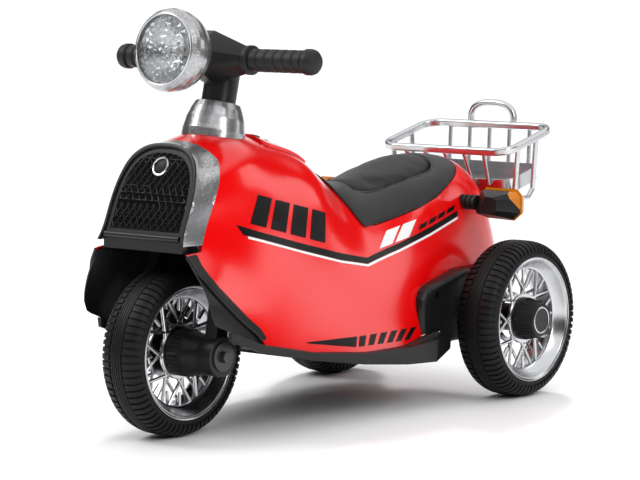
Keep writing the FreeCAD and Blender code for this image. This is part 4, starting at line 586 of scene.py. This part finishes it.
def finish(name, dark, light, colour_scale, rough, rough_scale, grain, metallic=0.0, gloss=0.5):
    """Material with mottled colour, uneven roughness and a fine grain (scale, strength, depth)."""
    made, tree, shader = shader_of(name)
    shader.inputs["Specular IOR Level"].default_value = gloss
    tree.links.new(tinted(tree, noise(tree, colour_scale), dark, light), shader.inputs["Base Color"])
    tree.links.new(spread(tree, noise(tree, rough_scale), *rough), shader.inputs["Roughness"])
    bumped(tree, shader, noise(tree, grain[0]), grain[1], grain[2])
    shader.inputs["Metallic"].default_value = metallic
    return made


def pale_floor():
    made, tree, shader = shader_of("pale_floor")
    shader.inputs["Base Color"].default_value = FLOOR_COLOUR
    tree.links.new(spread(tree, noise(tree, 3.0), 0.55, 0.7), shader.inputs["Roughness"])
    return made


def gloss_red():
    made = finish("gloss_red", (0.72, 0.0, 0.0), (0.80, 0.001, 0.002), 5, (0.16, 0.22), 30, (240, 0.02, 0.0004),
                  gloss=0.25)
    shader = made.node_tree.nodes["Principled BSDF"]
    shader.inputs["Coat Weight"].default_value = 0.6
    shader.inputs["Coat IOR"].default_value = 1.55
    shader.inputs["Coat Roughness"].default_value = 0.14
    return made


def satin_black():
    return finish("satin_black", (0.004, 0.004, 0.0045), (0.009, 0.009, 0.0095), 20, (0.28, 0.42), 60,
                  (1400, 0.15, 0.0003), gloss=0.3)


def soft_black():
    return finish("soft_black", (0.005, 0.005, 0.0055), (0.010, 0.010, 0.0105), 40, (0.48, 0.6), 90, (900, 0.2, 0.0004),
                  gloss=0.35)


def tyre_rubber():
    return finish("tyre_rubber", (0.003, 0.003, 0.0034), (0.008, 0.008, 0.008), 26, (0.42, 0.62), 45,
                  (700, 0.2, 0.0005), gloss=0.22)


def bright_chrome():
    return finish("bright_chrome", (0.50, 0.51, 0.53), (0.62, 0.625, 0.635), 12, (0.19, 0.27), 25,
                  (40, 0.03, 0.001), 1.0)


def brushed_steel():
    return finish("brushed_steel", (0.42, 0.43, 0.45), (0.58, 0.59, 0.6), 60, (0.25, 0.4), 140, (500, 0.1, 0.0004), 1.0)


def dark_paint():
    return finish("dark_paint", (0.014, 0.014, 0.015), (0.026, 0.026, 0.028), 25, (0.25, 0.36), 80, (600, 0.08, 0.0003))


def flake_silver():
    """Silver paint whose small flakes catch the light one by one."""
    made, tree, shader = shader_of("flake_silver")
    flakes = cells(tree, 1100, "Color")
    tree.links.new(tinted(tree, flakes, (0.20, 0.203, 0.21), (0.60, 0.605, 0.615)), shader.inputs["Base Color"])
    tree.links.new(spread(tree, noise(tree, 60), 0.18, 0.26), shader.inputs["Roughness"])
    bumped(tree, shader, flakes, 0.25, 0.0004)
    shader.inputs["Metallic"].default_value = 0.85
    shader.inputs["Coat Weight"].default_value = 0.35
    shader.inputs["Coat Roughness"].default_value = 0.08
    return made


def leatherette(name, dark, light, gloss):
    """Grained seat cover."""
    made, tree, shader = shader_of(name)
    shader.inputs["Specular IOR Level"].default_value = gloss
    tree.links.new(tinted(tree, noise(tree, 35), dark, light), shader.inputs["Base Color"])
    tree.links.new(spread(tree, noise(tree, 120), 0.36, 0.5), shader.inputs["Roughness"])
    bumped(tree, shader, cells(tree, 620), 0.3, 0.0006)
    shader.inputs["Sheen Weight"].default_value = 0.02
    return made


def clear_plastic():
    made, tree, shader = shader_of("clear_plastic")
    tree.links.new(tinted(tree, noise(tree, 18), (0.94, 0.96, 0.97), (0.99, 0.995, 1.0)), shader.inputs["Base Color"])
    tree.links.new(spread(tree, noise(tree, 40), 0.02, 0.06), shader.inputs["Roughness"])
    shader.inputs["Transmission Weight"].default_value = 1.0
    shader.inputs["IOR"].default_value = 1.45
    return made


def amber_plastic():
    made, tree, shader = shader_of("amber_plastic")
    tree.links.new(tinted(tree, noise(tree, 30), (0.68, 0.20, 0.0), (0.80, 0.29, 0.008)), shader.inputs["Base Color"])
    tree.links.new(spread(tree, noise(tree, 60), 0.1, 0.18), shader.inputs["Roughness"])
    bumped(tree, shader, cells(tree, 260), 0.4, 0.0006)
    shader.inputs["Transmission Weight"].default_value = 0.25
    return made


def lamp_white():
    return finish("lamp_white", (0.86, 0.85, 0.80), (0.95, 0.94, 0.9), 30, (0.15, 0.25), 60, (300, 0.05, 0.0003))


def machine_white():
    return finish("machine_white", (0.74, 0.74, 0.71), (0.82, 0.82, 0.79), 30, (0.35, 0.45), 60, (500, 0.1, 0.0003))


def brass_yellow():
    return finish("brass_yellow", (0.62, 0.46, 0.18), (0.75, 0.58, 0.26), 60, (0.25, 0.35), 90,
                  (500, 0.08, 0.0003), 1.0)


def board_green():
    return finish("board_green", (0.03, 0.17, 0.06), (0.05, 0.24, 0.09), 50, (0.3, 0.4), 80, (500, 0.1, 0.0003))


def case_grey():
    return finish("case_grey", (0.09, 0.09, 0.10), (0.14, 0.14, 0.15), 30, (0.4, 0.5), 60, (700, 0.12, 0.0003))


def lattice_black():
    return finish("lattice_black", (0.012, 0.012, 0.013), (0.022, 0.022, 0.023), 30, (0.26, 0.38), 70,
                  (900, 0.1, 0.0003))


# Near-black matte finish, darker than any black plastic of the bike: painted shade for the grille's holes
def hollow_black():
    return finish("hollow_black", (0.0008, 0.0008, 0.0009), (0.0016, 0.0016, 0.0017), 40, (0.7, 0.85), 90,
                  (900, 0.1, 0.0003), gloss=0.08)


def piping_black():
    return finish("piping_black", (0.010, 0.010, 0.011), (0.018, 0.018, 0.019), 60, (0.3, 0.42), 90, (900, 0.1, 0.0003))


def vinyl(name, dark, light):
    """Printed vinyl between two greys."""
    return finish(name, (dark,) * 3, (light,) * 3, 18, (0.2, 0.3), 50, (500, 0.03, 0.0003), gloss=0.2)


SLOT_FINISHES = {
    "body_red": gloss_red(),
    "black_plastic": satin_black(),
    "black_rubber": soft_black(),
    "silver_plastic": flake_silver(),
    "bright_plastic": bright_chrome(),
    "steel": brushed_steel(),
    "painted_steel": dark_paint(),
    "tyre": tyre_rubber(),
    "seat_cover": leatherette("seat_grey", (0.012, 0.012, 0.013), (0.019, 0.019, 0.020), 0.34),
    "seat_cushion": leatherette("seat_charcoal", (0.008, 0.008, 0.0085), (0.012, 0.012, 0.0125), 0.2),
    "clear_lens": clear_plastic(),
    "lamp": lamp_white(),
    "amber_lens": amber_plastic(),
    "button_plastic": finish("button_black", (0.015, 0.015, 0.016), (0.025, 0.025, 0.026), 60, (0.2, 0.3), 90,
                             (500, 0.05, 0.0003)),
    "battery_case": case_grey(),
    "board": board_green(),
    "white_plastic": machine_white(),
    "pinion_brass": brass_yellow(),
}


def dress_nodes():
    """Every CAD node takes the material of its slot."""
    for row in frame["record"]["subparts"]:
        node = NODES[row["node"]]
        node.data.materials.clear()
        node.data.materials.append(SLOT_FINISHES[row["material_slot"]])
    NODES["front_axle"].data.materials[0] = SLOT_FINISHES["painted_steel"]


# Wheels


def tyre():
    """Ribbed crown band with a row of lugs on each shoulder."""
    piece = turned("tyre", both_sides(CROWN_BAND + LUG_BED + SIDE_WALL), WHEEL_STEPS)

    def on_lug(face):
        turn = math.atan2(face.center.z, face.center.y) % math.tau
        step = int(turn / math.tau * WHEEL_STEPS)
        reach = math.hypot(face.center.y, face.center.z)
        inside = LUG_BED[0][0] < abs(face.center.x) < LUG_BED[-1][0] and reach > LUG_BED[-1][1]
        return inside and step % LUG_STEPS

    choose(piece, lambda face: bool(on_lug(face)))
    bpy.ops.mesh.extrude_region_shrink_fatten(TRANSFORM_OT_shrink_fatten={"value": LUG_HEIGHT})
    leave()
    return smooth(piece, 40)


def rim():
    """Dished barrel with crossed spokes and a hub ring on each side."""
    barrel = turned("rim", both_sides(RIM_SEAT + RIM_FACE), WHEEL_STEPS // 2)
    bars = []
    for lean in (-1, 1):
        start = around(*SPOKE_HUB_PLACE, -lean * SPOKE_TWIST / 2)
        bars.append(rod("spoke", start, around(*SPOKE_RIM_PLACE, lean * SPOKE_TWIST), SPOKE_RADIUS))
    bars.append(rod("strut", around(*STRUT_PLACE, 0), around(*SPOKE_RIM_PLACE, 0), SPOKE_RADIUS))
    group = ringed(joined("spokes", bars), SPOKE_GROUPS)
    side = joined("spoke_side", [group, turned("hub_ring", HUB_RING, WHEEL_STEPS // 3)])
    shaped(side, "MIRROR")
    return smooth(joined("rim", [barrel, side]))


def front_hub():
    body = turned("front_hub", both_sides(FRONT_HUB_OUTLINE[::-1])[::-1], WHEEL_STEPS // 3, closed=False)
    ribs = ringed(rod("rib", *[around(*pair, 0) for pair in FRONT_RIB], RIB_RADIUS, 6), RIB_COUNT)
    shaped(ribs, "MIRROR")
    return smooth(joined("front_hub", [body, ribs]))


def rear_hub():
    body = turned("rear_hub", REAR_HUB_OUTLINE, WHEEL_STEPS // 3, closed=False)
    ribs = ringed(rod("rib", *[around(*pair, 0) for pair in REAR_RIB], RIB_RADIUS, 6), RIB_COUNT)
    return smooth(joined("rear_hub", [body, ribs]))


def wheel_copy(pattern, end, suffix):
    """Copy of a wheel piece at its own wheel, with its outer side facing out."""
    piece = copied(pattern, end + "_wheel_" + pattern.name + suffix)
    piece.location = middle_of(end + "_tyre" + suffix)
    piece.rotation_euler = (0, 0, math.pi if suffix == "_right" else 0)
    return settled(piece)


def wheels():
    tread, barrel, front, rear = tyre(), rim(), front_hub(), rear_hub()
    front.name = rear.name = "hub"
    ring = smooth(turned("cap_ring", CAP_RING, WHEEL_STEPS // 3))
    for end, suffix, body in WHEELS:
        given(wheel_copy(tread, end, suffix), body, "tyre", end + "_tyre" + suffix)
        given(wheel_copy(barrel, end, suffix), body, "bright_plastic", end + "_rim" + suffix)
        hub = front if end == "front" else rear
        given(wheel_copy(hub, end, suffix), body, "black_plastic", end + "_hub" + suffix)
        if end == "rear":
            given(wheel_copy(ring, end, suffix), body, "bright_plastic")
    for pattern in (tread, barrel, front, rear, ring):
        bpy.data.objects.remove(pattern)


# Nose


def grille_lattice():
    """Triangular lattice cut over the floor of the grille, with a near-black sheet on the floor as painted shade in its
    holes.
    """
    piece = node_copy("front_grille", "grille_lattice")
    floor = NOSE_POINT + Vector((0, GRILLE_RECESS, 0))

    def off_floor(face):
        depth = (Vector(face.center) - floor).dot(NOSE_AIM)
        return Vector(face.normal).dot(NOSE_AIM) < 0.99 or abs(depth) > GRILLE_RECESS / 4

    choose(piece, off_floor)
    bpy.ops.mesh.delete(type="FACE")
    leave()
    # Near-black sheet on the grille floor: painted shade seen through the lattice holes
    shade_sheet = shaped(copied(piece, "grille_hollow"), "SOLIDIFY", thickness=SHADE_SHEET_THICKNESS, offset=1)
    given(shade_sheet, "chassis", "black_plastic", look=hollow_black())
    choose(piece)
    bpy.ops.mesh.dissolve_limited(angle_limit=math.radians(5))
    up = NOSE_AIM.cross(Vector(X_AXIS))
    for degrees in (0, 60, 120):
        turn = math.radians(degrees)
        across = Vector(X_AXIS) * math.sin(turn) + up * math.cos(turn)
        for row in range(-LATTICE_ROWS, LATTICE_ROWS + 1):
            bpy.ops.mesh.select_all(action="SELECT")
            middle = LATTICE_MIDDLE + across * LATTICE_PITCH * row
            bpy.ops.mesh.bisect(plane_co=middle, plane_no=across)
    leave()
    shaped(piece, "WIREFRAME", thickness=LATTICE_STRUT, use_even_offset=False, use_boundary=False)
    piece.location = NOSE_AIM * LATTICE_LIFT
    given(smooth(settled(piece)), "chassis", "black_plastic", look=lattice_black())


def trim_band():
    """Silver band round the grille, its pointed feet cut off."""
    band = node_copy("grille_trim", "trim_band")
    choose(band)
    bpy.ops.mesh.dissolve_degenerate(threshold=TRIM_SLIVER)
    bpy.ops.mesh.select_all(action="SELECT")
    bpy.ops.mesh.bisect(plane_co=TRIM_FOOT, plane_no=Z_AXIS, use_fill=True, clear_inner=True)
    leave()
    given(smooth(merged(band), 30), "chassis", "silver_plastic", "grille_trim")


def grille_frame():
    """Black rounded frame between the lattice and the silver band."""
    ring = node_copy("grille_trim", "grille_frame")

    def behind(face):
        depth = (Vector(face.center) - NOSE_POINT).dot(NOSE_AIM)
        return Vector(face.normal).dot(NOSE_AIM) < 0.98 or abs(depth) > GRILLE_RECESS / 4

    choose(ring, behind)
    bpy.ops.mesh.delete(type="FACE")
    bpy.ops.mesh.select_all(action="SELECT")
    bpy.ops.mesh.bisect(plane_co=TRIM_FOOT, plane_no=Z_AXIS, clear_inner=True)
    leave()
    shaped(ring, "SOLIDIFY", thickness=FRAME_HEIGHT, offset=1)
    shaped(ring, "BEVEL", width=FRAME_ROUND, segments=3, limit_method="ANGLE", angle_limit=math.radians(40))
    given(smooth(ring, 40), "chassis", "black_plastic")


def flare_strips():
    """Black strip along the front edge of each shell, with a bead that covers the edge itself."""
    sticker("flare_strip", FLARE_BACK, FLARE_FRONT, 60, 4, "black_plastic", SLOT_FINISHES["black_plastic"],
            EDGE_STRIP_THICKNESS)
    clear()
    bpy.ops.mesh.primitive_circle_add(vertices=EDGE_BEAD_STEPS)
    bead = added("flare_bead_left")
    for number, point in enumerate(bead.data.vertices):
        point.co = (STICKER_REACH, *along_line(FLARE_FRONT, number / (EDGE_BEAD_STEPS - 1)))
    ends = {0, EDGE_BEAD_STEPS - 1}
    choose(bead, lambda edge: set(edge.vertices) == ends, "EDGE")
    bpy.ops.mesh.delete(type="EDGE")
    leave()
    shaped(bead, "SHRINKWRAP", target=NODES["body_shell_left"], wrap_method="PROJECT", use_project_x=True,
           use_negative_direction=True, use_positive_direction=False)
    evened(bead, EDGE_BEAD_SMOOTHING)
    bead.location = EDGE_BEAD_SHIFT
    settled(bead)
    tubed(bead, EDGE_BEAD_RADIUS)
    for piece in (bead, mirrored(bead, "flare_bead_right")):
        given(smooth(piece, 60), "chassis", "black_plastic")


def badge():
    ring = aimed(turned("badge_ring", BADGE_RING, WHEEL_STEPS // 3), BADGE_PLACE, NOSE_AIM)
    face = aimed(turned("badge_face", BADGE_FACE, WHEEL_STEPS // 3, closed=False), BADGE_PLACE, NOSE_AIM)
    given(smooth(ring), "chassis", "bright_plastic", "front_badge")
    given(smooth(face), "chassis", "black_plastic", look=SLOT_FINISHES["black_rubber"])


# Headlight


def headlight_glass():
    """Dimpled lens with a toothed edge."""
    dome = [(LENS_SWELL * (1 - (i / LENS_RINGS) ** 2), LENS_RADIUS * i / LENS_RINGS) for i in range(LENS_RINGS + 1)]
    lens = turned("headlight_glass", dome + list(LENS_BACK), LENS_STEPS, closed=False)
    choose(lens, lambda face: face.normal.x > 0.5)
    bpy.ops.mesh.poke(offset=LENS_DIMPLE)
    leave()
    tooth = rod("tooth", *TOOTH, TOOTH_RADIUS, 6)
    glass = joined("headlight_glass", [smooth(lens, 12), ringed(tooth, TEETH)])
    aimed(glass, LENS_PLACE, LIGHT_AIM)
    given(glass, "steering", "clear_lens", "headlight_lens")
    bezel = aimed(turned("headlight_bezel", BEZEL, WHEEL_STEPS // 2), BEZEL_PLACE, LIGHT_AIM)
    given(smooth(bezel, 50), "steering", "bright_plastic")


# Seat


def inflated(piece):
    """Swells a padded piece by cloth pressure, its top more than its sides."""
    rest = [(point.co.copy(), point.normal.z) for point in piece.data.vertices]
    only(piece)
    cloth = piece.modifiers.new("padding", "CLOTH")
    cloth.settings.use_pressure = True
    cloth.settings.uniform_pressure_force = PAD_PRESSURE
    cloth.settings.effector_weights.gravity = 0
    cloth.point_cache.frame_start, cloth.point_cache.frame_end = 1, PAD_FRAMES
    for moment in range(1, PAD_FRAMES + 1):
        bpy.context.scene.frame_set(moment)
    bpy.ops.object.modifier_apply(modifier=cloth.name)
    bpy.context.scene.frame_set(1)
    for point, (start, upward) in zip(piece.data.vertices, rest):
        move = point.co - start
        share = min(max((upward - PAD_LEVELS[0]) / (PAD_LEVELS[1] - PAD_LEVELS[0]), 0), 1)
        cap = PAD_SIDE_CAP + (PAD_CAP - PAD_SIDE_CAP) * share
        if move.length > cap:
            point.co = start + move * cap / move.length
    return piece


def seat_pad():
    pad = node_copy("seat_cushion", "seat_pad")
    shaped(pad, "DISPLACE", strength=-PAD_SHRINK, mid_level=0)
    shaped(pad, "REMESH", mode="VOXEL", voxel_size=PAD_VOXEL)
    inflated(pad)
    evened(pad, SEAT_SMOOTHING)
    shaped(pad, "DISPLACE", strength=PAD_REGROW, mid_level=0)
    shaped(pad, "SUBSURF", levels=1, render_levels=1)
    given(smooth(pad, 180), "chassis", "seat_cushion", "seat_cushion")


def saddle_cover():
    cover = node_copy("seat_saddle", "saddle_cover")
    shaped(cover, "REMESH", mode="VOXEL", voxel_size=SADDLE_VOXEL)
    evened(cover, SEAT_SMOOTHING)
    shaped(cover, "DISPLACE", strength=SADDLE_REGROW, mid_level=0)
    given(smooth(cover, 180), "chassis", "seat_cover", "seat_saddle")
    return cover


def seat_piping(cover):
    """Round bead laid on the saddle along the pad's edge."""
    edge = list(PAD_EDGE) + [(-x, y) for x, y in PAD_EDGE[-2:0:-1]]
    clear()
    bpy.ops.mesh.primitive_circle_add(vertices=len(edge))
    bead = added("seat_piping")
    for point, (x, y) in zip(bead.data.vertices, edge):
        point.co = (x, y, PIPING_HEIGHT)
    choose(bead, kind="EDGE")
    bpy.ops.mesh.subdivide(number_cuts=3, smoothness=1)
    leave()
    evened(bead, PIPING_SMOOTHING)
    shaped(bead, "SHRINKWRAP", target=cover, wrap_method="PROJECT", use_project_z=True, use_negative_direction=True,
           use_positive_direction=False)
    evened(bead, PIPING_SMOOTHING)
    given(smooth(tubed(bead, PIPING_RADIUS), 60), "chassis", "seat_cover", look=piping_black())


def saddle_apron():
    """Thin cover that runs down both shells ahead of the saddle."""
    under = joined("apron_bed", [node_copy(node, "bed") for node in APRON_BED])
    clear()
    bpy.ops.mesh.primitive_grid_add(x_subdivisions=APRON_COLUMNS, y_subdivisions=APRON_ROWS, size=2)
    apron = added("saddle_apron")
    for point in apron.data.vertices:
        x, share = point.co.x * APRON_FRONT[-1][0], (point.co.y + 1) / 2
        front, back = across_line(APRON_FRONT, abs(x)), across_line(APRON_BACK, abs(x))
        point.co = (x, front + (back - front) * share, APRON_HEIGHT)
    shaped(apron, "SHRINKWRAP", target=under, wrap_method="PROJECT", use_project_z=True, use_negative_direction=True,
           use_positive_direction=False, wrap_mode="ABOVE_SURFACE", offset=APRON_LIFT)
    bpy.data.objects.remove(under)
    laid = [point for point in apron.data.vertices if point.co.z < APRON_LAID]
    for point in apron.data.vertices:
        if point.co.z >= APRON_LAID:
            point.co.z = min(laid, key=lambda other: (other.co.xy - point.co.xy).length).co.z
    evened(apron, APRON_SMOOTHING)
    shaped(apron, "SOLIDIFY", thickness=APRON_THICKNESS, offset=1)
    given(smooth(apron, 50), "chassis", "seat_cover")


# Stickers


def sticker(name, foot, top, columns, rows, slot, look, thickness=STICKER_THICKNESS, paired=True):
    """Thin sheet between two side-view lines, laid on the left shell and, where paired, on the right."""
    clear()
    bpy.ops.mesh.primitive_grid_add(x_subdivisions=columns, y_subdivisions=rows, size=2)
    left = added(name + "_left")
    for point in left.data.vertices:
        along, across = (point.co.x + 1) / 2, (point.co.y + 1) / 2
        y, z = along_line(foot, along).lerp(along_line(top, along), across)
        point.co = (STICKER_REACH, y, z)
    shaped(left, "SHRINKWRAP", target=NODES["body_shell_left"], wrap_method="PROJECT", use_project_x=True,
           use_negative_direction=True, use_positive_direction=False, wrap_mode="ABOVE_SURFACE", offset=STICKER_LIFT)
    shaped(left, "SOLIDIFY", thickness=thickness, offset=1)
    pieces = [left]
    if paired:
        pieces.append(mirrored(left, name + "_right"))
    for piece in pieces:
        given(smooth(piece), "chassis", slot, look=look)


def bars_between(name, foot, top, bars, slot, look, paired=None):
    """Row of slanted bars between two lines, each a (start, end) pair of shares; all or the first ones are paired."""
    paired = len(bars) if paired is None else paired
    for number, (start, end) in enumerate(bars, 1):
        low = [along_line(foot, share) for share in (start, end)]
        high = [along_line(top, share) for share in (start, end)]
        sticker(name + str(number), low, high, 8, 8, slot, look, paired=number <= paired)


def stickers():
    black, white = vinyl("vinyl_black", 0.003, 0.006), vinyl("vinyl_white", 0.80, 0.88)
    sticker("stripe", STRIPE_FOOT, STRIPE_TOP, 120, 4, "black_plastic", black)
    sticker("pinstripe", PINSTRIPE_FOOT, PINSTRIPE_TOP, 120, 2, "white_plastic", white)
    bars_between("side_bar", SIDE_BARS_FOOT, SIDE_BARS_TOP, SIDE_BARS, "black_plastic", black)
    bars_between("pale_bar", PALE_BARS_FOOT, PALE_BARS_TOP, PALE_BARS, "white_plastic", white)
    bars_between("dash", DASH_FOOT, DASH_TOP, DASHES, "black_plastic", black)
    sticker("foot_band", FOOT_BAND_FOOT, FOOT_BAND_TOP, 24, 4, "black_plastic", black)
    starts = [number / FOOT_BAR_COUNT for number in range(FOOT_BAR_COUNT)]
    foot_bars = [(start, start + FOOT_BAR_WIDTH) for start in starts]
    bars_between("foot_bar", FOOT_BARS_FOOT, FOOT_BARS_TOP, foot_bars, "black_plastic", black, BARS_BEFORE_PEDAL)


# Small pieces


def cut_off(piece, plane):
    """Takes off what lies beyond a plane (point, normal) and closes the cut."""
    choose(piece)
    bpy.ops.mesh.bisect(plane_co=plane[0], plane_no=plane[1], use_fill=True, clear_outer=True)
    leave()
    return piece


def indicators():
    """Pods cut slantwise at the root, with an amber lens that wraps the outer top corner."""
    pod = cut_off(node_copy("indicator_housing_left", "indicator_pod_left"), POD_ROOT_CUT)
    corner = cut_off(copied(pod, "lens_corner"), (POD_LENS_CUT[0], [-share for share in POD_LENS_CUT[1]]))
    cut_off(pod, POD_LENS_CUT)
    glass = joined("indicator_glass_left", [node_copy("indicator_lens_left", "lens_back"), corner])
    for piece, slot, node in ((pod, "black_plastic", "indicator_housing"), (glass, "amber_lens", "indicator_lens")):
        softened(merged(piece), POD_ROUND, sharp=POD_SHARP)
        other = mirrored(piece, piece.name.replace("left", "right"))
        given(piece, "chassis", slot, node + "_left")
        given(smooth(other, POD_SHARP), "chassis", slot, node + "_right")


def basket_handle():
    """Round tube bent to a hoop over the back of the basket."""
    low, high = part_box("basket_hoop")
    half, top = high.x - HANDLE_RADIUS, high.z - HANDLE_RADIUS
    clear()
    bpy.ops.mesh.primitive_circle_add(vertices=HANDLE_STEPS * 2)
    hoop = added("basket_handle")
    for point in hoop.data.vertices:
        turn = math.atan2(point.co.y, point.co.x)
        rise = abs(math.sin(turn)) ** HANDLE_SQUARE * (1 if turn > 0 else -1)
        reach = abs(math.cos(turn)) ** HANDLE_SQUARE * math.copysign(1, math.cos(turn))
        point.co = (half * reach, (low.y + high.y) / 2, HANDLE_SPRING + (top - HANDLE_SPRING) * rise)
    choose(hoop, lambda point: point.co.z < low.z + HANDLE_RADIUS, "VERT")
    bpy.ops.mesh.delete(type="VERT")
    leave()
    given(smooth(tubed(hoop, HANDLE_RADIUS), 50), "chassis", "bright_plastic", "basket_hoop")


def bar_housing():
    housing = softened(node_copy("handlebar_cover", "bar_housing"), HOUSING_ROUND, sharp=HOUSING_SHARP)
    given(housing, "steering", "black_plastic", "handlebar_cover")


dress_nodes()
wheels()
grille_lattice()
trim_band()
grille_frame()
flare_strips()
badge()
headlight_glass()
seat_pad()
seat_piping(saddle_cover())
saddle_apron()
stickers()
indicators()
basket_handle()
bar_housing()
studio_floor()
studio_light()
studio_camera()
